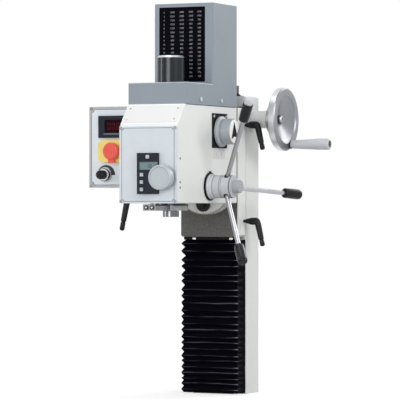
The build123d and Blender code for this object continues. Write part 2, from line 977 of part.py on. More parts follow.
def panel_screw_places(x_span, z_span):
    """Corner places of the screws of a panel."""
    xs = (x_span[0] + panel_screw_inset, x_span[1] - panel_screw_inset)
    zs = (z_span[0] + panel_screw_inset, z_span[1] - panel_screw_inset)
    return [(x, z) for x in xs for z in zs]


front_panel_places = panel_screw_places((-head_side, head_side), (head_bottom, panel_top))
control_panel_places = panel_screw_places((box_left, -head_side), (box_bottom, box_top))


def head_casting():
    """Cast head with its gear chamber, bores and the open box at its front."""
    outline = [
        (head_rear, head_bottom),
        (panel_back, head_bottom),
        (panel_back, slant_foot),
        (head_front + slant_run, head_top),
        (head_rear, head_top),
    ]
    body = prism_x(outline, (-head_side, head_side))
    side_edges = body.faces().filter_by(Axis.X).edges()
    body = fillet([edge for edge in side_edges if edge.center().Y < head_rear], head_edge)
    flange_y = (head_rear - tilt_flange_thickness, head_rear)
    body += rod_y(tilt_flange_radius, flange_y, 0, tilt_height)
    body += rod_y(
        tilt_spigot_radius, (head_rear, saddle_front + tilt_spigot_length), 0, tilt_height
    )
    chamber_half = head_side - head_wall
    chamber_rear = head_rear - head_rear_wall
    gear_front = front_wall_front + front_wall_thickness
    body -= block((-chamber_half, chamber_half), (gear_front, chamber_rear), (gear_floor, head_top))
    body -= block(
        (-chamber_half, chamber_half),
        (rear_chamber_front, chamber_rear),
        (rear_chamber_floor, gear_floor),
    )
    box_half = head_side - front_box_wall
    body -= block(
        (-box_half, box_half),
        (panel_back, front_wall_front),
        (head_bottom + front_box_wall, front_box_top),
    )
    slot_middle = (panel_back + front_wall_front) / 2
    slot_half = front_box_slot_width / 2
    body -= block(
        (front_box_slot_x - slot_half, front_box_slot_x + slot_half),
        (slot_middle - front_box_slot_depth / 2, slot_middle + front_box_slot_depth / 2),
        (head_bottom, head_bottom + front_box_wall),
    )
    body -= rod_z(quill_radius + run_gap, (head_bottom, gear_floor), 0, spindle_y)
    body -= rod_z(
        depth_rod_radius + depth_rod_hole_clearance,
        (head_bottom, head_bottom + front_box_wall),
        0,
        depth_rod_y,
    )
    body -= rod_z(
        lay_bearing_radius, (gear_floor - lay_bearing_width, gear_floor), 0, lay_y
    )
    feed_bore = pinion_radius + pinion_bore_clearance
    body -= rod_x(feed_bore, (-pinion_width / 2 - slide_gap, head_side), feed_y, feed_height)
    body -= rod_x(feed_stub_radius + run_gap, (-head_side, 0), feed_y, feed_height)
    body -= rod_x(
        spring_pocket_radius, (-head_side, -head_side + spring_pocket_depth), feed_y, feed_height
    )
    worm_back = feed_y + worm_pocket_length / 2
    worm_front = feed_y - worm_length / 2 - slide_gap
    body -= rod_y(
        worm_radius + worm_pocket_clearance, (worm_front, worm_back), fine_feed_x, fine_feed_height
    )
    body -= rod_y(
        fine_shaft_radius + run_gap, (front_wall_front, worm_front), fine_feed_x, fine_feed_height
    )
    body -= rod_x(
        lever_stud_radius + run_gap, (-head_side, -quill_radius), spindle_y, quill_lever_height
    )
    body -= rod_x(
        selector_shaft_radius + run_gap, (chamber_half, head_side), selector_y, selector_height
    )
    for x, z, seat, open_below in tilt_bolt_places():
        body -= rod_y(tilt_bolt_radius + seat_gap, (seat, head_rear), x, z)
        if open_below:
            body -= rod_y(tilt_pocket_radius, (seat - tilt_pocket_depth, seat), x, z)
    for x, z in front_panel_places:
        screw_end = head_front + panel_screw_length + slide_gap
        body -= rod_y(panel_screw_radius + seat_gap, (panel_back, screw_end), x, z)
    return body


def tilt_bolts():
    """T-bolts in the saddle's round slot with the nuts that lock the head's tilt."""
    head_end = saddle_front + tilt_slot_neck_depth + slide_gap
    solids = []
    for x, z, seat, _ in tilt_bolt_places():
        bolt = rod_y(tilt_bolt_head_radius, (head_end, head_end + tilt_bolt_head_height), x, z)
        nut_end = seat - tilt_nut_height
        bolt += rod_y(tilt_bolt_radius, (nut_end - tilt_bolt_stub, head_end), x, z)
        nut = rod_y(tilt_nut_radius, (nut_end, seat), x, z)
        nut = chamfer(nut.edges().sort_by(Axis.Y)[0], tilt_nut_edge)
        nut -= rod_y(tilt_bolt_radius + seat_gap, (nut_end, seat), x, z)
        solids += [bolt, nut]
    return Compound(children=solids)


def quill():
    """Quill with the feed rack on its back and the spindle bearings' seats."""
    body = rod_z(quill_radius, (quill_bottom, quill_top), 0, spindle_y)
    body -= rod_z(quill_bore_radius, (quill_bottom, quill_top), 0, spindle_y)
    for z_span in spindle_bearing_spans():
        body -= rod_z(spindle_bearing_radius, z_span, 0, spindle_y)
    rack_face = feed_y - pinion_radius - mesh_gap
    quill_back = spindle_y + quill_radius
    half_width = rack_width / 2
    rack_top = quill_top - rack_pitch
    body -= block(
        (-half_width, half_width), (rack_face, quill_back), (head_bottom, rack_top)
    )
    count = int((rack_top - head_bottom) / rack_pitch)
    for tooth in range(count):
        bottom = head_bottom + tooth * rack_pitch + rack_pitch / 2
        body -= block(
            (-half_width, half_width),
            (rack_face - rack_depth, rack_face),
            (bottom, bottom + rack_slot),
        )
    return body


def spindle_bearing_spans():
    """Heights of the lower and upper spindle bearings."""
    return (
        (quill_bottom, quill_bottom + spindle_bearing_width),
        (quill_top - spindle_bearing_width, quill_top),
    )


def spindle_bearings():
    """Two bearings that carry the spindle in the quill."""
    rings = [
        ring_z(spindle_bearing_radius - seat_gap, spindle_radius + run_gap, z_span, 0, spindle_y)
        for z_span in spindle_bearing_spans()
    ]
    return Compound(children=rings)


def spindle():
    """Spindle with a taper socket below and a drawbar hole through it."""
    nose_top = quill_bottom - slide_gap
    body = rod_z(spindle_nose_radius, (spindle_nose_bottom, nose_top), 0, spindle_y)
    body += rod_z(spindle_radius, (nose_top, quill_top), 0, spindle_y)
    body += rod_z(spindle_upper_radius, (quill_top, spindle_top), 0, spindle_y)
    socket = Cone(
        socket_mouth_radius,
        socket_end_radius,
        socket_depth,
        align=(Align.CENTER, Align.CENTER, Align.MIN),
    )
    body -= Pos(0, spindle_y, spindle_nose_bottom) * socket
    return body - rod_z(drawbar_hole_radius, (spindle_nose_bottom, spindle_top), 0, spindle_y)


def drawbar():
    """Drawbar with its hexagon head on top of the spindle."""
    bottom = spindle_nose_bottom + socket_depth + drawbar_end_gap
    shank = rod_z(drawbar_radius, (bottom, spindle_top), 0, spindle_y)
    head = extrude(RegularPolygon(drawbar_hex / 2, 6, major_radius=False), drawbar_hex_height)
    return shank + Pos(0, spindle_y, spindle_top) * head


def depth_bracket_span():
    """Heights of the depth bracket."""
    return quill_bottom, head_bottom - depth_bracket_top_gap


def depth_bracket():
    """Clamp on the quill's end with an arm that reaches forward to the depth rod."""
    z_span = depth_bracket_span()
    ring = rod_z(depth_ring_radius, z_span, 0, spindle_y)
    half = depth_bracket_width / 2
    ring += block((-half, half), (depth_bracket_front, spindle_y), z_span)
    ring -= rod_z(quill_radius + seat_gap, z_span, 0, spindle_y)
    return ring - rod_z(depth_rod_radius + seat_gap, z_span, 0, depth_rod_y)


def depth_rod():
    """Rod that carries the quill's position up to the readout."""
    return rod_z(depth_rod_radius, (quill_bottom, depth_rod_top), 0, depth_rod_y)


def feed_pinion_shaft():
    """Cross shaft with the quill pinion and the fine feed's worm wheel."""
    left_end = -head_side + spring_cap_thickness + feed_stub_end_gap
    half = pinion_width / 2
    toothed = gear(pinion_teeth, pinion_radius, pinion_tooth_depth, (-half, half))
    shaft = Pos(0, feed_y, feed_height) * Rot(0, 90, 0) * toothed
    shaft += rod_x(feed_stub_radius, (left_end, half), feed_y, feed_height)
    bush_end = head_side + feed_flange_thickness
    shaft += rod_x(feed_shaft_radius, (half, bush_end), feed_y, feed_height)
    wheel_half = worm_wheel_width / 2
    shaft += rod_x(
        worm_wheel_radius, (fine_feed_x - wheel_half, fine_feed_x + wheel_half), feed_y, feed_height
    )
    return shaft + rod_x(
        feed_stub_radius, (bush_end, hub_start + hub_shaft_seat), feed_y, feed_height
    )


def feed_flange():
    """Black flanged bush that carries the feed shaft in the head's side."""
    face = head_side + feed_flange_thickness
    body = rod_x(feed_flange_radius, (head_side, face), feed_y, feed_height)
    bush_radius = pinion_radius + pinion_bore_clearance - seat_gap
    body += rod_x(bush_radius, (head_side - feed_bush_length, head_side), feed_y, feed_height)
    index_bottom = feed_height + feed_flange_radius - feed_index_height / 2
    body += block(
        (head_side, face),
        (feed_y - feed_index_width / 2, feed_y + feed_index_width / 2),
        (index_bottom, index_bottom + feed_index_height),
    )
    bore_span = (head_side - feed_bush_length, face)
    return body - rod_x(feed_shaft_radius + run_gap, bore_span, feed_y, feed_height)


def spoke_planes():
    """Plane at the hub's axis for each spoke with its normal along the spoke."""
    cone = math.radians(spoke_cone_angle)
    planes = []
    for angle in spoke_angles:
        turn = math.radians(angle)
        along = (
            math.sin(cone),
            math.cos(cone) * math.cos(turn),
            math.cos(cone) * math.sin(turn),
        )
        planes.append(Plane(origin=(hub_start + spoke_x, feed_y, feed_height), z_dir=along))
    return planes


def feed_hub():
    """Turned hub that carries the three spokes."""
    bore = feed_stub_radius + seat_gap
    stud_bore = clutch_stud_radius + run_gap
    seat_end = hub_start + hub_shaft_seat
    groove = hub_start + hub_groove_x
    groove_radius = hub_radius - hub_groove_depth
    outline = [
        (hub_start, bore),
        (hub_start, hub_collar_radius),
        (hub_start + hub_collar_length, hub_collar_radius),
        (hub_start + hub_collar_length, hub_radius),
        (groove, hub_radius),
        (groove, groove_radius),
        (groove + hub_groove_width, groove_radius),
        (groove + hub_groove_width, hub_radius),
        (hub_end - hub_edge, hub_radius),
        (hub_end, hub_radius - hub_edge),
        (hub_end, stud_bore),
        (seat_end, stud_bore),
        (seat_end, bore),
    ]
    body = turned_x(outline, feed_y, feed_height)
    hole = Cylinder(
        spoke_radius + seat_gap, hub_radius * 2, align=(Align.CENTER, Align.CENTER, Align.MIN)
    )
    for plane in spoke_planes():
        body -= plane.offset(spoke_root) * hole
    return body


def feed_spokes():
    """Three steel spokes set in the hub's cone."""
    spoke = Cylinder(spoke_radius, spoke_length, align=(Align.CENTER, Align.CENTER, Align.MIN))
    thread = Cylinder(
        spoke_thread_radius, spoke_thread, align=(Align.CENTER, Align.CENTER, Align.MIN)
    )
    solids = []
    for plane in spoke_planes():
        start = plane.offset(spoke_root)
        solids.append(start * spoke + start.offset(spoke_length) * thread)
    return Compound(children=solids)


def feed_knobs():
    """Black grips on the ends of the spokes."""
    hole_radius = spoke_thread_radius + seat_gap
    hole_end = spoke_thread + slide_gap
    cap_start = knob_length - knob_cap_height
    profile = make_face(
        Polyline(
            (hole_radius, 0),
            (knob_radius - knob_edge, 0),
            (knob_radius, knob_edge),
            (knob_radius, cap_start),
            (knob_cap_radius, cap_start),
            (knob_cap_radius, knob_length - knob_cap_edge),
            (knob_cap_radius - knob_cap_edge, knob_length),
            (0, knob_length),
            (0, hole_end),
            (hole_radius, hole_end),
            close=True,
        )
    )
    knob = revolve(Plane.XZ * profile, Axis.Z)
    return Compound(
        children=[plane.offset(spoke_root + spoke_length) * knob for plane in spoke_planes()]
    )


def feed_clutch_knob():
    """Fluted knob on the hub's end that engages the fine feed."""
    neck_start = hub_end + slide_gap
    start = hub_end + clutch_knob_gap
    end = start + clutch_knob_length
    outline = [
        (neck_start, 0),
        (neck_start, clutch_neck_radius),
        (start, clutch_neck_radius),
        (start, clutch_knob_radius - clutch_knob_edge),
        (start + clutch_knob_edge, clutch_knob_radius),
        (end - clutch_knob_edge, clutch_knob_end_radius),
        (end, clutch_knob_end_radius - clutch_knob_edge),
        (end, 0),
    ]
    knob = turned_x(outline, 0, 0)
    flute_orbit = clutch_knob_radius + clutch_flute_radius - clutch_flute_depth
    for flute in range(clutch_flutes):
        angle = math.radians(360 * flute / clutch_flutes)
        knob -= rod_x(
            clutch_flute_radius,
            (start, end),
            flute_orbit * math.cos(angle),
            flute_orbit * math.sin(angle),
        )
    knob += rod_x(clutch_stud_radius, (hub_end - clutch_stud_length, neck_start), 0, 0)
    return Pos(0, feed_y, feed_height) * knob


def feed_spring():
    """Clock spring that lifts the quill, wound round the shaft's left end."""
    arcs = []
    for half_turn in range(spring_half_turns):
        odd = half_turn % 2
        radius = spring_inner_radius + half_turn * spring_pitch / 2
        arcs.append(CenterArc((odd * spring_pitch / 2, 0), radius, 180 * odd, 180))
    strip = trace(Wire(arcs), spring_strip)
    start = -head_side + spring_cap_thickness + slide_gap
    spring = extrude(Plane.YZ.offset(start) * strip, spring_width)
    return Pos(0, feed_y, feed_height) * spring


def spring_cap():
    """Round cap over the clock spring."""
    radius = spring_pocket_radius - seat_gap
    return rod_x(radius, (-head_side, -head_side + spring_cap_thickness), feed_y, feed_height)


def fine_feed_knob():
    """Fine feed knob with its long shaft and worm."""
    face = head_front - fine_collar_length - fine_knob_length
    knob = rod_y(fine_knob_radius, (face, head_front - fine_collar_length), 0, 0)
    knob = chamfer(knob.edges(), fine_knob_edge)
    knob -= rod_y(fine_knob_dish_radius, (face, face + fine_knob_dish_depth), 0, 0)
    knob += rod_y(fine_collar_radius, (head_front - fine_collar_length, head_front - slide_gap), 0, 0)
    worm_front = feed_y - worm_length / 2
    knob += rod_y(fine_shaft_radius, (head_front - slide_gap, worm_front), 0, 0)
    knob += rod_y(worm_radius, (worm_front, worm_front + worm_length), 0, 0)
    return Pos(fine_feed_x, 0, fine_feed_height) * knob


def front_panel():
    """Front plate of the head with the holes for its screws and the fine feed."""
    half = head_side - panel_edge_gap
    body = block(
        (-half, half),
        (head_front, panel_back),
        (head_bottom + panel_edge_gap, panel_top - panel_edge_gap),
    )
    for x, z in front_panel_places:
        body -= rod_y(panel_screw_radius + seat_gap, (head_front, panel_back), x, z)
    shaft_hole = fine_shaft_radius + depth_rod_hole_clearance
    return body - rod_y(shaft_hole, (head_front, panel_back), fine_feed_x, fine_feed_height)


def panel_screw(x, face_y, z):
    """Panel screw with its head on a face that looks along -Y."""
    head = rod_y(panel_screw_head_radius, (face_y - panel_screw_head_height, face_y), x, z)
    shank = rod_y(panel_screw_radius, (face_y, face_y + panel_screw_length), x, z)
    return head + shank


def panel_screws():
    """Corner screws of the front panel and the control panel."""
    screws = [panel_screw(x, head_front, z) for x, z in front_panel_places]
    screws += [panel_screw(x, control_face, z) for x, z in control_panel_places]
    return Compound(children=screws)


def button_places():
    """Name, X and Z of each readout button."""
    top_x = readout_left + top_button_inset
    side_x = readout_left + side_button_inset
    places = [("readout_button_top", top_x, readout_top - top_button_drop)]
    for index, name in enumerate(("upper", "middle", "lower")):
        z = readout_top - side_button_drop - index * side_button_step
        places.append((f"readout_button_{name}", side_x, z))
    return places


def depth_readout():
    """Black depth readout with its window and the pockets of its buttons."""
    face = head_front - readout_thickness
    body = block(
        (readout_left, readout_right), (face, head_front), (readout_bottom, readout_top)
    )
    window_left = readout_left + window_left_inset
    window_top = readout_top - window_drop
    body -= block(
        (window_left, window_left + window_width),
        (face, face + readout_window_depth),
        (window_top - window_height, window_top),
    )
    half = button_size / 2 + slide_gap
    for _, x, z in button_places():
        body -= block(
            (x - half, x + half), (face, face + button_pocket_depth), (z - half, z + half)
        )
    return body


def readout_button(x, z):
    """Square push button of the depth readout."""
    front = head_front - readout_thickness - button_stand
    half = button_size / 2
    return block((x - half, x + half), (front, front + button_length), (z - half, z + half))


def gear_tip(teeth):
    """Tip radius that leaves the mesh gap between two gears."""
    return gear_module * teeth / 2 - mesh_gap / 2


def layshaft_gears():
    """Gear cluster between the motor and the spindle gear."""
    body = rod_z(lay_shaft_radius, (gear_floor - lay_bearing_width, head_top + lay_bearing_width))
    low_span = (low_gear_bottom, low_gear_bottom + low_gear_width)
    high_span = (high_gear_bottom, high_gear_bottom + high_gear_width)
    body += gear(lay_small_teeth, gear_tip(lay_small_teeth), tooth_depth, low_span)
    body += gear(lay_large_teeth, gear_tip(lay_large_teeth), tooth_depth, high_span)
    body += rod_z(lay_spacer_radius, (low_span[1], high_span[0]))
    return Pos(0, lay_y, 0) * body


def spindle_gear():
    """Gear sleeve that drives the spindle and lets it slide."""
    low_span = (low_gear_bottom, low_gear_bottom + low_gear_width)
    body = gear(spindle_teeth, gear_tip(spindle_teeth), tooth_depth, low_span)
    body += rod_z(sleeve_radius, (sleeve_bottom, plate_top))
    body -= rod_z(spindle_upper_radius + run_gap, (sleeve_bottom, plate_top))
    return Pos(0, spindle_y, 0) * body


def sleeve_bearing_spans():
    """Heights of the two bearings of the gear sleeve."""
    boss_bottom = head_top - sleeve_boss_drop
    return (
        (boss_bottom, boss_bottom + sleeve_bearing_width),
        (plate_top - sleeve_bearing_width, plate_top),
    )


def gearbox_bearings():
    """Bearings of the layshaft and the gear sleeve."""
    lay_spans = (
        (gear_floor - lay_bearing_width, gear_floor),
        (head_top, head_top + lay_bearing_width),
    )
    rings = [
        ring_z(lay_bearing_radius - seat_gap, lay_shaft_radius + run_gap, z_span, 0, lay_y)
        for z_span in lay_spans
    ]
    rings += [
        ring_z(sleeve_bearing_radius - seat_gap, sleeve_radius + run_gap, z_span, 0, spindle_y)
        for z_span in sleeve_bearing_spans()
    ]
    return Compound(children=rings)


def motor_housing():
    """Motor with the end shield that closes the gear chamber."""
    half = cover_width / 2 - cover_sheet - motor_plate_side_gap
    rear = cover_rear - cover_sheet - motor_plate_side_gap
    front = cover_front + cover_sheet + motor_plate_side_gap
    body = block((-half, half), (front, rear), (head_top, plate_top))
    body += rod_z(sleeve_boss_radius, (head_top - sleeve_boss_drop, head_top), 0, spindle_y)
    body += rod_z(motor_radius, (plate_top, plate_top + motor_height), 0, motor_y)
    sleeve_span = (head_top - sleeve_boss_drop, plate_top)
    body -= rod_z(sleeve_radius + rotor_clearance, sleeve_span, 0, spindle_y)
    for z_span in sleeve_bearing_spans():
        body -= rod_z(sleeve_bearing_radius, z_span, 0, spindle_y)
    body -= rod_z(lay_bearing_radius, (head_top, head_top + lay_bearing_width), 0, lay_y)
    stator_span = (plate_top + motor_end, plate_top + motor_height - motor_end)
    body -= rod_z(rotor_radius + rotor_clearance, stator_span, 0, motor_y)
    shaft_span = (head_top, plate_top + motor_height - motor_end / 2)
    body -= rod_z(motor_shaft_radius + run_gap, shaft_span, 0, motor_y)
    for y in cover_screw_places:
        for side in (-1, 1):
            span = sorted((side * half, side * (half - cover_screw_length)))
            body -= rod_x(cover_screw_radius + seat_gap, span, y, head_top + cover_screw_lift)
    return body


def motor_rotor():
    """Rotor with its shaft and the pinion cut on the shaft's end."""
    high_span = (high_gear_bottom, high_gear_bottom + high_gear_width)
    body = gear(motor_teeth, gear_tip(motor_teeth), tooth_depth, high_span)
    shaft_top = plate_top + motor_height - motor_end / 2 - rotor_clearance
    body += rod_z(motor_shaft_radius, (high_span[0], shaft_top))
    core_span = (
        plate_top + motor_end + rotor_clearance,
        plate_top + motor_height - motor_end - rotor_clearance,
    )
    body += rod_z(rotor_radius, core_span)
    return Pos(0, motor_y, 0) * body


def cover_outline(inset, bottom):
    """Side outline of the motor cover, drawn in by a distance."""
    return [
        (cover_rear - inset, bottom),
        (cover_front + inset, bottom),
        (cover_front + inset, cover_shelf - inset),
        (cover_step + inset, cover_shelf - inset),
        (cover_step + inset, cover_top - inset),
        (cover_rear - inset, cover_top - inset),
    ]


def motor_cover():
    """Folded sheet cover over the motor and the gears."""
    half = cover_width / 2
    body = prism_x(cover_outline(0.0, head_top), (-half, half))
    body = fillet(body.faces().filter_by(Axis.X).edges().filter_by(Axis.Z), cover_edge)
    inner_half = half - cover_sheet
    body -= prism_x(cover_outline(cover_sheet, head_top), (-inner_half, inner_half))
    body -= rod_z(cover_hole_radius, (cover_shelf - cover_sheet, cover_shelf), 0, spindle_y)
    for y in cover_screw_places:
        body -= rod_x(
            cover_screw_radius + seat_gap, (-half, half), y, head_top + cover_screw_lift
        )
    return body


def motor_cover_screws():
    """Screws that hold the motor cover to the end shield."""
    half = cover_width / 2
    screws = []
    for y in cover_screw_places:
        for side in (-1, 1):
            head_span = sorted((side * half, side * (half + cover_screw_head_height)))
            shank_span = sorted((side * half, side * (half - cover_screw_length)))
            z = head_top + cover_screw_lift
            head = rod_x(cover_screw_head_radius, head_span, y, z)
            screws.append(head + rod_x(cover_screw_radius, shank_span, y, z))
    return Compound(children=screws)


def drawbar_cap():
    """Lift-off cap over the drawbar."""
    bottom = cover_shelf + slide_gap
    body = rod_z(cap_radius, (bottom, bottom + cap_height), 0, spindle_y)
    body = chamfer(body.edges().sort_by(Axis.Z)[-1], cap_edge)
    return body - rod_z(
        cap_radius - cap_wall, (bottom, bottom + cap_height - cap_wall), 0, spindle_y
    )


def selector_plate():
    """Black plate behind the gear selector."""
    half = selector_plate_size / 2
    body = block(
        (head_side, head_side + selector_plate_thickness),
        (selector_y - half, selector_y + half),
        (selector_height + selector_plate_rise - half, selector_height + selector_plate_rise + half),
    )
    hole = selector_shaft_radius + run_gap
    span = (head_side, head_side + selector_plate_thickness)
    return body - rod_x(hole, span, selector_y, selector_height)


def gear_selector_knob():
    """Stepped selector knob with its shaft and the shift arm inside the head."""
    base = head_side + selector_plate_thickness + slide_gap
    drum = base + selector_base_length
    face = drum + selector_drum_length
    arm_end = head_side - head_wall - selector_arm_gap
    arm_start = arm_end - selector_arm_thickness
    outline = [
        (arm_start, 0),
        (arm_start, selector_shaft_radius),
        (base, selector_shaft_radius),
        (base, selector_base_radius - selector_base_edge),
        (base + selector_base_edge, selector_base_radius),
        (drum - selector_base_slope, selector_base_radius),
        (drum, selector_drum_radius),
        (face, selector_drum_radius),
        (face, selector_face_radius),
        (face + selector_face_length, selector_face_radius),
        (face + selector_face_length, 0),
    ]
    knob = turned_x(outline, selector_y, selector_height)
    half = selector_arm_width / 2
    return knob + block(
        (arm_start, arm_end),
        (selector_y - half, selector_y + half),
        (selector_height - selector_arm_length, selector_height),
    )


def control_box():
    """Sheet box on the head's left side with a post in each front corner."""
    right = -head_side
    body = block((box_left, right), (box_front, box_back), (box_bottom, box_top))
    body -= block(
        (box_left + box_sheet, right - box_sheet),
        (box_front, box_back - box_sheet),
        (box_bottom + box_sheet, box_top - box_sheet),
    )
    post_end = box_front + panel_screw_length + box_post
    for x_span in ((box_left, box_left + box_post), (right - box_post, right)):
        for z_span in ((box_bottom, box_bottom + box_post), (box_top - box_post, box_top)):
            body += block(x_span, (box_front, post_end), z_span)
    for x, z in control_panel_places:
        screw_end = control_face + panel_screw_length + slide_gap
        body -= rod_y(panel_screw_radius + seat_gap, (box_front, screw_end), x, z)
    return body


def meter_body_spans():
    """X and Z limits of the part of the meter behind the panel."""
    half = meter_width / 2 - meter_body_inset
    x_span = (meter_centre_x - half, meter_centre_x + half)
    return x_span, (meter_bottom + meter_body_inset, meter_top - meter_body_inset)


def control_panel():
    """Front plate of the control box with its cut-outs."""
    body = block((box_left, -head_side), (control_face, box_front), (box_bottom, box_top))
    x_span, z_span = meter_body_spans()
    body -= block(x_span, (control_face, box_front), z_span)
    y_span = (control_face, box_front)
    body -= rod_y(stop_stem_radius + slide_gap, y_span, switch_centre_x, switch_centre_height)
    body -= rod_y(speed_shaft_radius + run_gap, y_span, speed_x, speed_height)
    for x, z in control_panel_places:
        body -= rod_y(panel_screw_radius + seat_gap, y_span, x, z)
    return body


def panel_meter():
    """Speed meter with its bezel and the body behind the panel."""
    half = meter_width / 2
    front = control_face - meter_bezel
    window_top = meter_top - meter_window_drop
    body = block(
        (meter_centre_x - half, meter_centre_x + half),
        (front, control_face),
        (meter_bottom, meter_top),
    )
    body -= block(
        (meter_centre_x - half + meter_window_inset_x, meter_centre_x + half - meter_window_inset_x),
        (front, front + meter_window_depth),
        (window_top - meter_window_height, window_top),
    )
    x_span, z_span = meter_body_spans()
    inner_x = (x_span[0] + seat_gap, x_span[1] - seat_gap)
    inner_z = (z_span[0] + seat_gap, z_span[1] - seat_gap)
    return body + block(inner_x, (control_face, control_face + meter_body_depth), inner_z)


def stop_switch_base():
    """Yellow housing under the stop button."""
    half_x = switch_width / 2
    half_z = switch_height / 2
    body = block(
        (switch_centre_x - half_x, switch_centre_x + half_x),
        (control_face - switch_depth, control_face),
        (switch_centre_height - half_z, switch_centre_height + half_z),
    )
    body = fillet(body.edges().filter_by(Axis.Y), switch_corner)
    y_span = (control_face - switch_depth, control_face)
    return body - rod_y(
        stop_stem_radius + slide_gap, y_span, switch_centre_x, switch_centre_height
    )


def stop_button():
    """Red mushroom button with its tongue and stem."""
    back = control_face - switch_depth - stop_stand
    face = back - stop_length
    body = rod_y(stop_radius, (face, back), switch_centre_x, switch_centre_height)
    body = fillet(body.edges().sort_by(Axis.Y)[0], stop_edge)
    half = stop_tongue_width / 2
    body += block(
        (switch_centre_x - half, switch_centre_x + half),
        (back - stop_tongue_thickness, back),
        (switch_centre_height - stop_tongue_drop, switch_centre_height),
    )
    return body + rod_y(
        stop_stem_radius, (back, control_face), switch_centre_x, switch_centre_height
    )


def speed_knob():
    """Stepped speed knob with its shaft."""
    back = control_face - speed_knob_stand
    step = back - speed_knob_length + speed_grip_length
    face = back - speed_knob_length
    body = rod_y(speed_knob_radius, (step, back), speed_x, speed_height)
    body = chamfer(body.edges(), speed_knob_edge)
    body += rod_y(speed_grip_radius, (face, step), speed_x, speed_height)
    return body + rod_y(
        speed_shaft_radius, (back, back + speed_shaft_length), speed_x, speed_height
    )


pieces = {
    "column": column(),
    "column_top_cover": column_top_cover(),
    "z_screw_bearings": z_screw_bearings(),
    "handwheel_bracket": handwheel_bracket(),
    "bellows": bellows(),
    "z_leadscrew": z_leadscrew(),
    "z_bevel_gear": z_bevel_gear(),
    "handwheel_shaft": handwheel_shaft(),
    "handwheel_dial": handwheel_dial(),
    "handwheel": handwheel(),
    "handwheel_nut": handwheel_nut(),
    "handwheel_grip_stud": handwheel_grip_stud(),
    "handwheel_grip": handwheel_grip(),
    "saddle": saddle(),
    "saddle_gib": saddle_gib(),
    "z_nut": z_nut(),
    "bellows_top_strip": bellows_top_strip(),
    "z_clamp_upper": z_clamp(upper_lever_height),
    "z_clamp_lower": z_clamp(lower_lever_height),
    "head_casting": head_casting(),
    "tilt_bolts": tilt_bolts(),
    "front_panel": front_panel(),
    "panel_screws": panel_screws(),
    "depth_readout": depth_readout(),
    "motor_housing": motor_housing(),
    "motor_rotor": motor_rotor(),
    "motor_cover": motor_cover(),
    "motor_cover_screws": motor_cover_screws(),
    "drawbar_cap": drawbar_cap(),
    "gearbox_bearings": gearbox_bearings(),
    "layshaft_gears": layshaft_gears(),
    "spindle_gear": spindle_gear(),
    "quill": quill(),
    "spindle_bearings": spindle_bearings(),
    "spindle": spindle(),
    "drawbar": drawbar(),
    "depth_bracket": depth_bracket(),
    "depth_rod": depth_rod(),
    "quill_lock_lever": quill_lock_lever(),
    "feed_pinion_shaft": feed_pinion_shaft(),
    "feed_flange": feed_flange(),
    "feed_hub": feed_hub(),
    "feed_spokes": feed_spokes(),
    "feed_knobs": feed_knobs(),
    "feed_clutch_knob": feed_clutch_knob(),
    "feed_spring": feed_spring(),
    "spring_cap": spring_cap(),
    "fine_feed_knob": fine_feed_knob(),
    "selector_plate": selector_plate(),
    "gear_selector_knob": gear_selector_knob(),
    "control_box": control_box(),
    "control_panel": control_panel(),
    "panel_meter": panel_meter(),
    "stop_switch_base": stop_switch_base(),
    "stop_button": stop_button(),
    "speed_knob": speed_knob(),
}
for name, x, z in button_places():
    pieces[name] = readout_button(x, z)

os.makedirs("parts", exist_ok=True)
for name, shape in pieces.items():
    export_step(shape, f"parts/{name}.step")
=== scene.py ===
"""Finishes and fine fittings of a mill drill's column and head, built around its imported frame."""

import math

import bmesh
import bpy
from bpy.props import FloatProperty, FloatVectorProperty, IntProperty, PointerProperty
from bpy.types import Operator, Panel, PropertyGroup
from mathutils import Matrix, Vector


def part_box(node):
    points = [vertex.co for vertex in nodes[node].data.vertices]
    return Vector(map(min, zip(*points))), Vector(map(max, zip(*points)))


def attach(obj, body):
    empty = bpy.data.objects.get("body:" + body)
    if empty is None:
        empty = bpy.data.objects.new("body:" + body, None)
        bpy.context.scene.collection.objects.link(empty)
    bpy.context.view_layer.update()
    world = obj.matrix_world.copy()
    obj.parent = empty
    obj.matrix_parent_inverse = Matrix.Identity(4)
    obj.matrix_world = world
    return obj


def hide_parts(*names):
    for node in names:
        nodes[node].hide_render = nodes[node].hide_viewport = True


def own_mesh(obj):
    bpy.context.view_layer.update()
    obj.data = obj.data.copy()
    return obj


bl_info = {
    "name": "Mill drill dressing",
    "version": (1, 0, 0),
    "blender": (4, 5, 0),
    "location": "View3D > Sidebar > Mill drill",
    "description": "Finishes and fine fittings of a mill drill's column and head",
    "category": "Object",
}

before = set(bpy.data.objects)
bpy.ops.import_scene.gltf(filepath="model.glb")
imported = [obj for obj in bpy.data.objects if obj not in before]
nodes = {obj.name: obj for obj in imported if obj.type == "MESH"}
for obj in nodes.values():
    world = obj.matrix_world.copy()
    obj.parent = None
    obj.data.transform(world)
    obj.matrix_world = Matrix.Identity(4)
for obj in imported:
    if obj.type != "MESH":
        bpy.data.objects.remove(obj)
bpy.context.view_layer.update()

MM = 0.001
X_AXIS = Vector((1, 0, 0))
Y_AXIS = Vector((0, 1, 0))
Z_AXIS = Vector((0, 0, 1))

# Points on the axes of the moving pieces, and the angles of the quill handle's spokes
SPINDLE = Vector((0, -243.1, 0)) * MM
LAYSHAFT = Vector((0, -180.1, 0)) * MM
HANDWHEEL = Vector((100, 0, 543.4)) * MM
GRIP = Vector((0, 19.4, 494.1)) * MM
FEED = Vector((92.4, -197.2, 409.5)) * MM
FEED_CONE = math.radians(25.5)
FEED_TURNS = [math.radians(turn) for turn in (115.0, -5.0, -125.0)]
SELECTOR = Vector((92.8, -152.8, 516.3)) * MM
SPEED = Vector((-139.4, -242, 432.6)) * MM
TILT = Vector((0, -68.3, 416.5)) * MM
FINE_FEED = Vector((35.5, -368, 426)) * MM
STOP_SWITCH = Vector((-117, -242, 478)) * MM

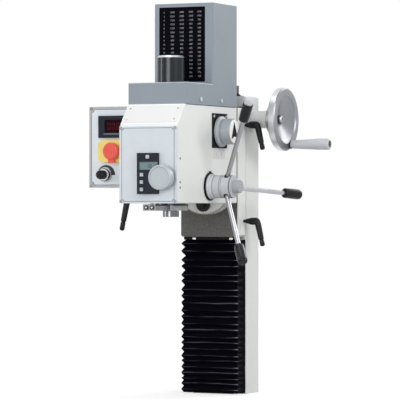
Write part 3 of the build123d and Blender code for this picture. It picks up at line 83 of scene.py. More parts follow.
# Faces and sizes of the castings and covers
COLUMN_WAY = -31.2 * MM
HEAD_SIDE = 60.5 * MM
HEAD_UNDERSIDE = 377.0 * MM
FLANGE_FRONT = -94.6 * MM
FLANGE_RADIUS = 59.6 * MM
COVER_FRONT = -187.0 * MM
COVER_TALL = 157.5 * MM
LID_TOP = 589.5 * MM
SLANT_FOOT = Vector((0, -340.4, 527.3)) * MM
SLANT_TOP = Vector((0, -307.5, 565.8)) * MM

# Colours that more than one finish uses
RUBBED_SHEET = (0.75, 0.76, 0.78)
RUBBED_STEEL = (0.8, 0.8, 0.8)
DULL_STEEL = (0.6, 0.6, 0.6)
OXIDE = (0.012, 0.012, 0.013)
DARK_INK_AND_SHADE = (0.03, 0.03, 0.033)

# Grain that more than one finish uses: scale and height, then tone and gloss
CAST_GRAIN = (420.0, 0.00012)
SCREW_GRAIN = (2500.0, 0.00002, 0.7, 0.1)
PLATED_GRAIN = (3000.0, 0.00001, 0.75, 0.1)


def colour(label, text, default):
    """A colour setting in linear values."""
    return FloatVectorProperty(
        name=label, description=text, default=default, size=3, min=0.0, max=1.0, subtype="COLOR"
    )


def length(label, text, default):
    """A length setting, given in millimetres and kept in metres."""
    return FloatProperty(
        name=label, description=text, default=default * MM, min=0.0, precision=5, unit="LENGTH"
    )


class MillColours(PropertyGroup):
    """Colours of the finishes."""

    cream: colour("Cream paint", "Paint of the castings", (0.768, 0.785, 0.767))
    blue_grey: colour("Blue-grey paint", "Paint of the motor cover", (0.262, 0.300, 0.340))
    box_grey: colour("Box grey", "Powder coat of the control box", (0.55, 0.56, 0.56))
    sheet: colour("Panel sheet", "Lavender-grey sheet on the panels", (0.60, 0.645, 0.687))
    plate_white: colour("White plate", "Plain plates and the selector's disc", (0.72, 0.72, 0.72))
    iron: colour("Machined iron", "Ground and milled faces of the castings", (0.19, 0.185, 0.175))
    steel: colour("Steel", "Turned steel pieces", (0.30, 0.305, 0.32))
    satin: colour("Satin metal", "Hub, clutch knob, grip and cover screws", (0.58, 0.60, 0.63))
    chrome: colour("Bright steel", "Spokes of the quill handle", (0.30, 0.305, 0.32))
    aluminium: colour("Aluminium", "Handwheel and motor housing", (0.26, 0.265, 0.285))
    bronze: colour("Bronze", "Nut of the Z screw", (0.55, 0.36, 0.16))
    black: colour("Black", "Black paint and mouldings", (0.008, 0.008, 0.010))
    cap_grey: colour("Cap grey", "Drawbar cap", (0.006, 0.010, 0.014))
    knob_grey: colour("Knob grey", "Fine feed knob, selector and buttons", (0.44, 0.48, 0.51))
    navy: colour("Readout black", "Readout and meter housings", (0.014, 0.018, 0.029))
    red: colour("Red", "Stop button", (0.84, 0.086, 0.056))
    yellow: colour("Yellow", "Stop switch base", (0.93, 0.71, 0.19))
    rubber: colour("Bellows", "Folded rubber of the bellows", (0.0022, 0.0020, 0.0042))
    screen: colour("Screen", "Readout's screen", (0.138, 0.210, 0.226))
    window: colour("Window", "Meter's dark window", (0.020, 0.002, 0.005))
    dust: colour("Dust", "Dust that settles on level faces", (0.55, 0.54, 0.52))


class MillSizes(PropertyGroup):
    """Sizes of the fittings."""

    edge_round: length("Edge rounding", "Radius that light sees on sharp edges", 0.9)
    sheet_thickness: length("Sheet thickness", "Panel sheets and plates", 0.25)
    sheet_inset: length("Sheet inset", "Rim between the control panel's edge and its sheet", 4.9)
    sheet_notch: length("Sheet notch", "Radius of that sheet's corner notches", 5.6)
    frame_line: length("Frame line", "Width of the printed frame", 1.0)
    fold_depth: length("Fold depth", "Depth of the bellows' folds", 7.0)
    fold_wave: length("Fold wave", "How far a ridge wanders", 0.9)
    fold_wall: length("Fold thickness", "Thickness of the bellows' wall", 1.1)
    fold_count: IntProperty(name="Folds", description="Folds of the bellows", default=23, min=4)
    dial_marks: IntProperty(name="Dial marks", description="Marks on the dial", default=40, min=4)
    knob_flutes: IntProperty(name="Knob flutes", description="Flutes of a grip", default=16, min=3)


def colours():
    """The colour settings."""
    return bpy.context.scene.mill_colours


def sizes():
    """The size settings."""
    return bpy.context.scene.mill_sizes


def shade(base, share):
    """A colour made darker or lighter."""
    return [share * part for part in base]


def feed(tree, socket, value):
    """Links another node's output to an input, or sets the input's own value."""
    if isinstance(value, bpy.types.NodeSocket):
        tree.links.new(value, socket)
    else:
        socket.default_value = value


def add_node(tree, kind, inputs=None, **settings):
    """A shader node with some of its settings and inputs."""
    node = tree.nodes.new(kind)
    for name, value in settings.items():
        setattr(node, name, value)
    for name, value in (inputs or {}).items():
        feed(tree, node.inputs[name], value)
    return node


def math_node(tree, operation, *values):
    """The result of an operation on sockets or numbers."""
    inputs = dict(enumerate(values))
    return add_node(tree, "ShaderNodeMath", inputs, operation=operation).outputs[0]


def vector_node(tree, operation, *values):
    """The result of an operation on vectors."""
    inputs = dict(enumerate(values))
    node = add_node(tree, "ShaderNodeVectorMath", inputs, operation=operation)
    return node.outputs["Value" if operation in ("DOT_PRODUCT", "LENGTH") else "Vector"]


def map_range(tree, value, low, high):
    """A value spread from low and high to nought and one, kept between them."""
    inputs = {"Value": value, "From Min": low, "From Max": high}
    return add_node(tree, "ShaderNodeMapRange", inputs, clamp=True).outputs["Result"]


def object_coords(tree):
    """The piece's own coordinates."""
    return add_node(tree, "ShaderNodeTexCoord").outputs["Object"]


def noise(tree, scale, detail, vector=None):
    """Noise over the piece's own coordinates, or over another vector."""
    if vector is None:
        vector = object_coords(tree)
    inputs = {"Vector": vector, "Scale": scale, "Detail": detail}
    return add_node(tree, "ShaderNodeTexNoise", inputs).outputs["Fac"]


def start_group(name, inputs, outputs):
    """A shader group with its sockets, each a name, a kind and maybe a default."""
    group = bpy.data.node_groups.new(name, "ShaderNodeTree")
    for side, sockets in (("INPUT", inputs), ("OUTPUT", outputs)):
        for label, kind, *default in sockets:
            item = group.interface.new_socket(
                name=label, in_out=side, socket_type=f"NodeSocket{kind}"
            )
            if default:
                item.default_value = default[0]
    source = group.nodes.new("NodeGroupInput")
    target = group.nodes.new("NodeGroupOutput")
    return group, source.outputs, target.inputs


RELIEF = [("Tone", "Float"), ("Normal", "Vector")]


def put_relief(group, given, out, height, tone):
    """Puts out a tone, and a normal that follows a height."""
    feed(group, out["Tone"], map_range(group, tone, 0.3, 0.7))
    inputs = {"Height": height, "Distance": given["Height"], "Normal": given["Normal"]}
    bump = add_node(group, "ShaderNodeBump", {"Strength": 1.0, **inputs})
    feed(group, out["Normal"], bump.outputs["Normal"])


def make_edge_wear():
    """Rounded edges and the patches where they are rubbed."""
    group, given, out = start_group(
        "edge_wear",
        [("Radius", "Float", 0.001), ("Scale", "Float", 110.0)],
        [("Mask", "Float"), ("Normal", "Vector")],
    )
    bevel = add_node(group, "ShaderNodeBevel", {"Radius": given["Radius"]}, samples=6)
    turned = bevel.outputs["Normal"]
    plain = add_node(group, "ShaderNodeNewGeometry").outputs["Normal"]
    edge = map_range(group, vector_node(group, "DOT_PRODUCT", turned, plain), 0.985, 0.80)
    patch = map_range(group, noise(group, given["Scale"], 5.0), 0.46, 0.62)
    feed(group, out["Mask"], math_node(group, "MULTIPLY", edge, patch))
    feed(group, out["Normal"], turned)


def make_surface_grain():
    """Fine relief with a slow change of tone."""
    group, given, out = start_group(
        "surface_grain",
        [("Scale", "Float", 900.0), ("Height", "Float", 0.0001), ("Normal", "Vector")],
        RELIEF,
    )
    fine = noise(group, given["Scale"], 3.0)
    slow = noise(group, math_node(group, "MULTIPLY", given["Scale"], 0.02), 4.0)
    put_relief(group, given, out, fine, slow)


def make_turned_marks():
    """Rings that a lathe leaves around an axis, on faces and on rounds."""
    group, given, out = start_group(
        "turned_marks",
        [
            ("Centre", "Vector"),
            ("Axis", "Vector"),
            ("Scale", "Float", 1500.0),
            ("Height", "Float", 0.00002),
            ("Normal", "Vector"),
        ],
        RELIEF,
    )
    shift = vector_node(group, "SUBTRACT", object_coords(group), given["Centre"])
    along = vector_node(group, "DOT_PRODUCT", shift, given["Axis"])
    across = vector_node(group, "CROSS_PRODUCT", shift, given["Axis"])
    parts = {"X": along, "Y": vector_node(group, "LENGTH", across)}
    spot = add_node(group, "ShaderNodeCombineXYZ", parts).outputs["Vector"]
    marks = noise(group, given["Scale"], 2.0, spot)
    put_relief(group, given, out, marks, marks)


def make_brushed_lines():
    """Straight fine lines along one direction."""
    group, given, out = start_group(
        "brushed_lines",
        [
            ("Stretch", "Vector", (40.0, 1500.0, 1500.0)),
            ("Height", "Float", 0.00002),
            ("Normal", "Vector"),
        ],
        RELIEF,
    )
    stretched = vector_node(group, "MULTIPLY", object_coords(group), given["Stretch"])
    lines = noise(group, 1.0, 3.0, stretched)
    put_relief(group, given, out, lines, lines)


def make_settled_dust():
    """Thin uneven dust on faces that look up."""
    group, given, out = start_group("settled_dust", [("Scale", "Float", 45.0)], [("Mask", "Float")])
    normal = add_node(group, "ShaderNodeNewGeometry").outputs["Normal"]
    parts = add_node(group, "ShaderNodeSeparateXYZ", {0: normal}).outputs
    level = map_range(group, parts["Z"], 0.55, 1.0)
    patch = map_range(group, noise(group, given["Scale"], 6.0), 0.40, 0.75)
    feed(group, out["Mask"], math_node(group, "MULTIPLY", level, patch))


class Finish:
    """A material that is built up in layers on one Principled shader."""

    def __init__(self, name, base, roughness, metallic=0.0, edge=None):
        self.material = bpy.data.materials.new(name)
        self.material.use_nodes = True
        self.material.diffuse_color = (*base, 1.0)
        self.tree = self.material.node_tree
        self.shader = self.tree.nodes["Principled BSDF"]
        self.set(Base_Color=(*base, 1.0), Roughness=roughness, Metallic=metallic)
        self.rubbed = self.group("edge_wear", Radius=sizes().edge_round if edge is None else edge)
        self.chain(self.rubbed)

    def set(self, **values):
        """Constant values on the shader's own sockets."""
        for label, value in values.items():
            self.shader.inputs[label.replace("_", " ")].default_value = value
        return self

    def group(self, name, **values):
        """One of the shared effects with this finish's values."""
        effect = bpy.data.node_groups[name]
        return add_node(self.tree, "ShaderNodeGroup", values, node_tree=effect)

    def chain(self, node):
        """Chains an effect's normal in front of the shader's."""
        socket = self.shader.inputs["Normal"]
        if socket.links and "Normal" in node.inputs:
            self.tree.links.new(socket.links[0].from_socket, node.inputs["Normal"])
        self.tree.links.new(node.outputs["Normal"], socket)

    def layer(self, mask, base, roughness=None, metallic=None):
        """Lays other values over the finish where the mask is one."""
        values = {"Base Color": base, "Roughness": roughness, "Metallic": metallic}
        for label, value in values.items():
            if value is None:
                continue
            if label == "Base Color":
                kind, under, over, result, value = "RGBA", 6, 7, 2, (*value, 1.0)
            else:
                kind, under, over, result = "FLOAT", 2, 3, 0
            socket = self.shader.inputs[label]
            before = socket.links[0].from_socket if socket.links else socket.default_value
            inputs = {0: mask, under: before, over: value}
            mix = add_node(self.tree, "ShaderNodeMix", inputs, data_type=kind)
            self.tree.links.new(mix.outputs[result], socket)
        return self

    def relief(self, effect, darker, spread, **values):
        """A shared effect's relief, with the tone and gloss drifting a little."""
        node = self.group(effect, **values)
        self.chain(node)
        base = self.shader.inputs["Base Color"].default_value[:3]
        rough = self.shader.inputs["Roughness"].default_value
        return self.layer(node.outputs["Tone"], shade(base, darker), rough + spread)

    def grain(self, scale, height, darker, spread):
        """Fine grain."""
        return self.relief("surface_grain", darker, spread, Scale=scale, Height=height)

    def turned(self, centre, axis, scale=1500.0, height=0.00002, darker=0.8, spread=0.08):
        """Lathe rings."""
        values = {"Centre": centre, "Axis": axis, "Scale": scale, "Height": height}
        return self.relief("turned_marks", darker, spread, **values)

    def brushed(self, stretch, height=0.00002, darker=0.88, spread=0.08):
        """Straight lines."""
        return self.relief("brushed_lines", darker, spread, Stretch=stretch, Height=height)

    def worn(self, amount, base, roughness):
        """Rubbed edges."""
        return self.layer(self.both(self.rubbed.outputs["Mask"], amount), base, roughness)

    def dusty(self, amount):
        """Settled dust."""
        settled = self.group("settled_dust").outputs["Mask"]
        return self.layer(self.both(settled, amount), colours().dust, 0.9)

    def split(self, output):
        """The parts of a coordinate or normal of the piece."""
        coords = add_node(self.tree, "ShaderNodeTexCoord").outputs[output]
        return add_node(self.tree, "ShaderNodeSeparateXYZ", {0: coords}).outputs

    def radius(self, centre, axis):
        """Distance from an axis."""
        shift = vector_node(self.tree, "SUBTRACT", object_coords(self.tree), centre)
        across = vector_node(self.tree, "CROSS_PRODUCT", shift, axis)
        return vector_node(self.tree, "LENGTH", across)

    def between(self, value, low, high):
        """A mask that is nought where a value is low and one where it is high."""
        return map_range(self.tree, value, low, high)

    def window(self, value, rise, fall):
        """A mask that comes in over one span of a value and goes out over another."""
        return self.both(self.between(value, *rise), self.between(value, *fall))

    def both(self, first, *others):
        """Masks or shares multiplied, so one where all are one."""
        for other in others:
            first = math_node(self.tree, "MULTIPLY", first, other)
        return first


def show(node_names, finish):
    """Gives CAD nodes a finish."""
    for name in node_names.split():
        mesh = nodes[name].data
        mesh.materials.clear()
        mesh.materials.append(finish.material)


def put_in_order(shape):
    """Sorts points and faces by place, because extruding leaves them in a chance order."""
    for elements, key in (
        (shape.verts, lambda vert: tuple(vert.co)),
        (shape.faces, lambda face: sorted(vert.index for vert in face.verts)),
    ):
        for index, element in enumerate(sorted(elements, key=key)):
            element.index = index
        elements.sort()


def add_piece(name, shape, finishes, body, angle=35.0):
    """A new piece that rides on a body."""
    mesh = bpy.data.meshes.new(name)
    put_in_order(shape)
    bmesh.ops.recalc_face_normals(shape, faces=shape.faces)
    shape.to_mesh(mesh)
    shape.free()
    mesh.shade_smooth()
    mesh.set_sharp_from_angle(angle=math.radians(angle))
    for finish in finishes:
        mesh.materials.append(finish.material)
    piece = bpy.data.objects.new(name, mesh)
    bpy.context.scene.collection.objects.link(piece)
    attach(piece, body)
    return piece


def place(origin, normal, upright=Z_AXIS):
    """Matrix whose Z is the normal and whose Y is the upright direction as far as it can be."""
    z_dir = Vector(normal).normalized()
    x_dir = Vector(upright).cross(z_dir).normalized()
    y_dir = z_dir.cross(x_dir)
    turn = Matrix((x_dir, y_dir, z_dir)).transposed().to_4x4()
    return Matrix.Translation(origin) @ turn


def front_face(y):
    """Matrix of a face that looks to the front, with the frame's own X and Z."""
    return place(Vector((0, y, 0)), -Y_AXIS)


def shifted(matrix, x, y, z=0.0):
    """A matrix moved along its own directions."""
    return matrix @ Matrix.Translation((x, y, z))


def skin(shape, loops, index=0):
    """Faces between closed loops of points, with both ends shut."""
    for low, high in zip(loops, loops[1:]):
        for step in range(len(low)):
            after = (step + 1) % len(low)
            face = shape.faces.new((low[step], low[after], high[after], high[step]))
            face.material_index = index
    for end in (loops[0][::-1], loops[-1]):
        shape.faces.new(end).material_index = index


def rings(shape, matrix, profile, steps, index=0):
    """Skins a stack of rings. Each is a radius, or a function of the angle, with a height."""
    loops = []
    for radius, height in profile:
        loop = []
        for step in range(steps):
            angle = 2 * math.pi * step / steps
            reach = radius(angle) if callable(radius) else radius
            point = Vector((reach * math.cos(angle), reach * math.sin(angle), height))
            loop.append(shape.verts.new(matrix @ point))
        loops.append(loop)
    skin(shape, loops, index)


def hexagon(reach):
    """Outline of a hexagon as a radius for each angle."""
    half = math.pi / 6
    return lambda angle: reach * math.cos(half) / math.cos((angle % (2 * half)) - half)


def cross(arm, half_width):
    """Outline of a cross as a radius for each angle."""

    def reach(angle):
        c = max(abs(math.cos(angle)), 1e-6)
        s = max(abs(math.sin(angle)), 1e-6)
        return max(min(arm / c, half_width / s), min(half_width / c, arm / s))

    return reach


def waved(reach, deep, count, power=1, phase=0.0):
    """Outline with flutes or lobes as a radius for each angle."""
    return lambda angle: reach - deep * (0.5 + 0.5 * math.cos(count * angle + phase)) ** power


def screw_head(shape, matrix, radius, height, recess):
    """Head of a small screw with its recess."""
    profile = [
        (radius, 0.0),
        (radius, 0.55 * height),
        (0.93 * radius, 0.82 * height),
        (0.74 * radius, height),
        (recess, height),
        (recess, 0.45 * height),
    ]
    rings(shape, matrix, profile, 48)


BOX_FACES = ((0, 1, 3, 2), (4, 6, 7, 5), (0, 4, 5, 1), (2, 3, 7, 6), (0, 2, 6, 4), (1, 5, 7, 3))


def box(shape, matrix, x_span, y_span, z_span, index=0):
    """A block in a matrix's own directions."""
    corners = [
        shape.verts.new(matrix @ Vector((x, y, z))) for x in x_span for y in y_span for z in z_span
    ]
    for face in BOX_FACES:
        shape.faces.new([corners[i] for i in face]).material_index = index


def sheet(shape, matrix, outline, thickness, index=0, holes=()):
    """A flat sheet with holes, its back on the matrix's XY plane."""
    edges = []
    for loop in (outline, *holes):
        points = [shape.verts.new((x, y, 0.0)) for x, y in loop]
        edges += [shape.edges.new(pair) for pair in zip(points, points[1:] + points[:1])]
    filled = bmesh.ops.triangle_fill(shape, use_beauty=True, edges=edges)
    faces = [item for item in filled["geom"] if isinstance(item, bmesh.types.BMFace)]
    raised = bmesh.ops.extrude_face_region(shape, geom=faces)
    top = [item for item in raised["geom"] if isinstance(item, bmesh.types.BMVert)]
    bmesh.ops.translate(shape, verts=top, vec=(0.0, 0.0, thickness))
    made = {vert for edge in edges for vert in edge.verts} | set(top)
    for face in {face for vert in made for face in vert.link_faces}:
        face.material_index = index
    for vert in made:
        vert.co = matrix @ vert.co


def circle(x, y, radius, steps=48):
    """Points of a circle."""
    turns = [2 * math.pi * step / steps for step in range(steps)]
    return [(x + radius * math.cos(t), y + radius * math.sin(t)) for t in turns]


def cornered(x_span, y_span, radius, inset, starts, sweep, steps):
    """Rectangle whose corners are arcs, each about a point set in from its corner."""
    (left, right), (low, high) = x_span, y_span
    centres = (
        (left + inset, low + inset),
        (right - inset, low + inset),
        (right - inset, high - inset),
        (left + inset, high - inset),
    )
    points = []
    for (x, y), start in zip(centres, starts):
        for step in range(steps + 1):
            turn = math.radians(start + sweep * step / steps)
            points.append((x + radius * math.cos(turn), y + radius * math.sin(turn)))
    return points


def notched(x_span, y_span, notch):
    """Rectangle whose corners are cut by quarter rounds."""
    return cornered(x_span, y_span, notch, 0.0, (90, 180, 270, 360), -90, 10)


def rounded(x_span, y_span, radius):
    """Rectangle with round corners."""
    return cornered(x_span, y_span, radius, radius, (180, 270, 0, 90), 90, 8)


def grown(spans, margin):
    """Spans of a rectangle with a margin added all round."""
    return [(low - margin, high + margin) for low, high in spans]


def numerals(shape, text, matrix, size, thickness, index=0):
    """Plain numbers as thin raised shapes."""
    curve = bpy.data.curves.new("numerals", "FONT")
    curve.body = text
    curve.size = size
    curve.align_x = "CENTER"
    curve.align_y = "CENTER"
    curve.resolution_u = 3
    curve.extrude = thickness / 2
    holder = bpy.data.objects.new("numerals", curve)
    bpy.context.scene.collection.objects.link(holder)
    graph = bpy.context.evaluated_depsgraph_get()
    mesh = bpy.data.meshes.new_from_object(holder.evaluated_get(graph))
    mesh.transform(shifted(matrix, 0.0, 0.0, thickness / 2))
    known = len(shape.faces)
    shape.from_mesh(mesh)
    shape.faces.ensure_lookup_table()
    for face in shape.faces[known:]:
        face.material_index = index
    bpy.data.objects.remove(holder)
    bpy.data.curves.remove(curve)
    bpy.data.meshes.remove(mesh)


def segment_digit(shape, matrix, digit, width, height, thickness, index):
    """A nought or a point of a segment display."""
    bar = 0.13 * height
    gap = bar / 3
    half = height / 2
    left, across, right = (0.0, bar), (bar, width - bar), (width - bar, width)
    foot, top = (0.0, bar), (height - bar, height)
    lower, upper = (gap, half - gap), (half + gap, height - gap)
    bars = {
        "0": [
            (across, top),
            (right, upper),
            (right, lower),
            (across, foot),
            (left, lower),
            (left, upper),
        ],
        ".": [((-bar, 0.0), foot)],
    }
    for x_span, y_span in bars[digit]:
        box(shape, matrix, x_span, y_span, (0.0, thickness), index)


def display(shape, face, window, thickness, text, start, pitch, digit_size):
    """A display's window, with its digits in the second finish."""
    sheet(shape, face, rounded(*window, 0.0008), thickness)
    for order, digit in enumerate(text):
        spot = shifted(face, start[0] + pitch * order, start[1], thickness)
        segment_digit(shape, spot, digit, *digit_size, 1)


def paint(name, base, roughness, scale, height):
    """A painted finish with its grain, rubbed edges and dust."""
    finish = Finish(name, base, roughness).grain(scale, height, 0.955, 0.06)
    return finish.worn(0.35, shade(base, 0.55), 0.5).dusty(0.05)


def moulded(name, base, roughness, height=0.00004, coat=0.0, edge=None):
    """A moulded plastic finish."""
    finish = Finish(name, base, roughness, edge=edge).grain(1400.0, height, 0.88, 0.08)
    finish.worn(0.3, [min(1.0, 1.8 * part + 0.015) for part in base], 0.4).dusty(0.04)
    shine = 0.5 if max(base) > 0.1 else 0.16
    return finish.set(Coat_Weight=coat, Coat_Roughness=0.12, Specular_IOR_Level=shine)


def satin(name, share, roughness, centre, edge=None):
    """A satin metal finish, turned about X."""
    finish = Finish(name, shade(colours().satin, share), roughness, edge=edge)
    finish.turned(centre, X_AXIS, darker=0.93, spread=0.04)
    return finish.set(Specular_IOR_Level=0.2)


def ink_and_shade_finish(name, base, roughness=0.5):
    """Printed ink, or a dark painted shade, with a little unevenness."""
    return Finish(name, base, roughness, edge=0.0001).grain(3000.0, 0.00001, 0.85, 0.06)


def banded(finish, node, base, bands):
    """Lighter and darker bands around a piece that is turned about X, by shares of its length."""
    low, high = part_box(node)
    fade = 0.0004
    along = finish.split("Object")["X"]
    around = finish.between(finish.split("Normal")["X"], 0.7, 0.4)
    for first, last, tone in bands:
        start, stop = (low.x + share * (high.x - low.x) for share in (first, last))
        band = finish.window(along, (start - fade, start), (stop + fade, stop))
        finish.layer(finish.both(band, around), shade(base, tone))


def head_paint(tint):
    """Paint of the head, with a bare edge, and with the pocket of the tilt flange below it painted
    black as painted shade.
    """
    # Painted light: the head's cream is 1.06 times the paint's colour, brighter than the other
    # castings, to make up for light its sides miss
    head = paint("head_paint", shade(tint.cream, 1.06), 0.36, 480.0, 0.0001)
    spot = head.split("Object")
    reach = head.radius(TILT, Y_AXIS)
    below = head.between(spot["Z"], HEAD_UNDERSIDE + 0.0004, HEAD_UNDERSIDE)
    rim = head.between(reach, FLANGE_RADIUS - 0.0006, FLANGE_RADIUS)
    flange = head.window(
        spot["Y"],
        (FLANGE_FRONT - 0.0004, FLANGE_FRONT),
        (FLANGE_FRONT + 0.0031, FLANGE_FRONT + 0.0026),
    )
    bare_edge = (0.42, 0.34, 0.20)
    head.layer(head.both(below, flange, rim), bare_edge, 0.42, 0.3)
    # Painted shade: the pocket of the tilt flange, behind its front face and inside its rim, is
    # painted black
    behind = head.between(spot["Y"], FLANGE_FRONT + 0.0006, FLANGE_FRONT + 0.0009)
    inside = head.between(reach, FLANGE_RADIUS - 0.0011, FLANGE_RADIUS - 0.0016)
    return head.layer(head.both(below, behind, inside), tint.black, 0.6)


def cover_paint(tint):
    """Paint of the motor cover, rubbed bright along its edges, with a painted highlight along the
    lip of its front shelf.
    """
    cover = Finish("cover_paint", tint.blue_grey, 0.40).grain(800.0, 0.00007, 0.955, 0.06)
    cover.dusty(0.06).worn(0.6, shade(tint.blue_grey, 1.9), 0.35).set(Specular_IOR_Level=0.22)
    _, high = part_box("motor_cover")
    shelf = high.z - COVER_TALL
    spot = cover.split("Object")
    # Painted highlight: a thin pale line along the front lip of the shelf, where the rounded edge
    # catches the light
    lip = cover.window(
        spot["Z"], (shelf - 0.0015, shelf - 0.0009), (shelf + 0.0006, shelf + 0.0003)
    )
    ahead = cover.between(spot["Y"], COVER_FRONT + 0.001, COVER_FRONT - 0.001)
    upright = cover.between(cover.split("Normal")["Z"], 0.7, 0.4)
    return cover.layer(cover.both(lip, ahead, upright), shade(tint.blue_grey, 2.0), 0.35)


class MILL_OT_paint_castings(Operator):
    """Paint the castings, the sheet covers and the panels"""

    bl_idname = "mill.paint_castings"
    bl_label = "Paint castings"

    def execute(self, context):
        tint = colours()
        column = paint("column_paint", shade(tint.cream, 0.95), 0.36, *CAST_GRAIN)
        way = column.between(column.split("Object")["Y"], COLUMN_WAY, COLUMN_WAY - 0.0003)
        show("column", column.layer(way, tint.iron, 0.32, 0.85))

        saddle = paint("saddle_paint", tint.cream, 0.38, *CAST_GRAIN)
        face = saddle.between(saddle.split("Normal")["Y"], -0.9, -0.97)
        saddle.layer(face, shade(tint.iron, 0.46), 0.52, 0.35)
        mottle = saddle.group("surface_grain", Scale=15000.0, Height=0.0).outputs["Tone"]
        show("saddle", saddle.layer(saddle.both(face, mottle), shade(tint.iron, 0.30)))

        lid = paint("lid_paint", tint.cream, 0.38, *CAST_GRAIN)
        bracket = lid.between(lid.split("Object")["Z"], LID_TOP, LID_TOP + 0.0002)
        show("column_top_cover", lid.layer(bracket, tint.black, 0.45))

        show("head_casting", head_paint(tint))
        show("motor_cover", cover_paint(tint))
        show("handwheel_bracket", paint("bracket_paint", tint.cream, 0.36, 420.0, 0.0001))
        show("control_box", paint("box_powder_coat", tint.box_grey, 0.45, 1500.0, 0.0001))

        for name, node, base, rough, metal, darker, wear in (
            ("panel_rim", "control_panel", shade(tint.box_grey, 0.72), 0.38, 0.35, 0.88, 0.5),
            ("front_plate", "front_panel", shade(tint.sheet, 0.98), 0.34, 0.2, 0.94, 0.4),
        ):
            plate = Finish(name, base, rough, metal)
            plate.brushed((30.0, 900.0, 900.0), 0.00001, darker).worn(wear, RUBBED_SHEET, 0.3)
            show(node, plate)

        black = Finish("black_paint", tint.black, 0.38).grain(1100.0, 0.00008, 0.8, 0.08)
        black.worn(0.3, (0.05, 0.05, 0.055), 0.4).dusty(0.05).set(Specular_IOR_Level=0.05)
        show("bellows_top_strip selector_plate feed_flange", black)
        return {"FINISHED"}


def wheel_finishes(tint):
    """Handwheel, paler on its rim and back as painted reflection, and its nut with a dark washer
    and painted shade in its socket.
    """
    wheel = Finish("handwheel_turned", tint.aluminium, 0.36, 1.0).turned(HANDWHEEL, X_AXIS)
    # Painted reflection: faces that look away from the front get a paler, smoother copy of the
    # wheel's metal
    rim_and_back = wheel.between(wheel.split("Normal")["X"], 0.25, 0.05)
    show("handwheel", wheel.layer(rim_and_back, (0.64, 0.65, 0.67), 0.30))

    low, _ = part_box("handwheel_nut")
    nut = Finish("wheel_nut", shade(tint.steel, 1.3), 0.3, 1.0)
    washer = nut.between(nut.split("Object")["X"], low.x + 0.0018, low.x + 0.0016)
    socket = nut.between(nut.radius(HANDWHEEL, X_AXIS), 0.0030, 0.0026)
    # Painted shade: the socket in the nut's end is painted black; the washer at its foot is dark
    # too
    for dark in (washer, socket):
        nut.layer(dark, tint.black, 0.5, 0.0)
    show("handwheel_nut", nut)


def bracket_steel(tint):
    """Turned depth bracket, with a painted shadow in a dark band around its top except on the flat
    front.
    """
    bracket = Finish("bracket_steel", shade(tint.steel, 0.95), 0.3, 1.0)
    bracket.turned(SPINDLE, Z_AXIS, 700.0, 0.00002, 0.75, 0.1).worn(0.7, (0.7, 0.7, 0.7), 0.3)
    _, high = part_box("depth_bracket")
    # Painted shadow: the top of the bracket, under the head, is painted black except on its flat
    # front
    upper = bracket.between(bracket.split("Object")["Z"], high.z - 0.0032, high.z - 0.0028)
    sides = bracket.between(bracket.split("Normal")["Y"], -0.95, -0.80)
    return bracket.layer(bracket.both(upper, sides), shade(tint.black, 0.4), 0.7, 0.0)


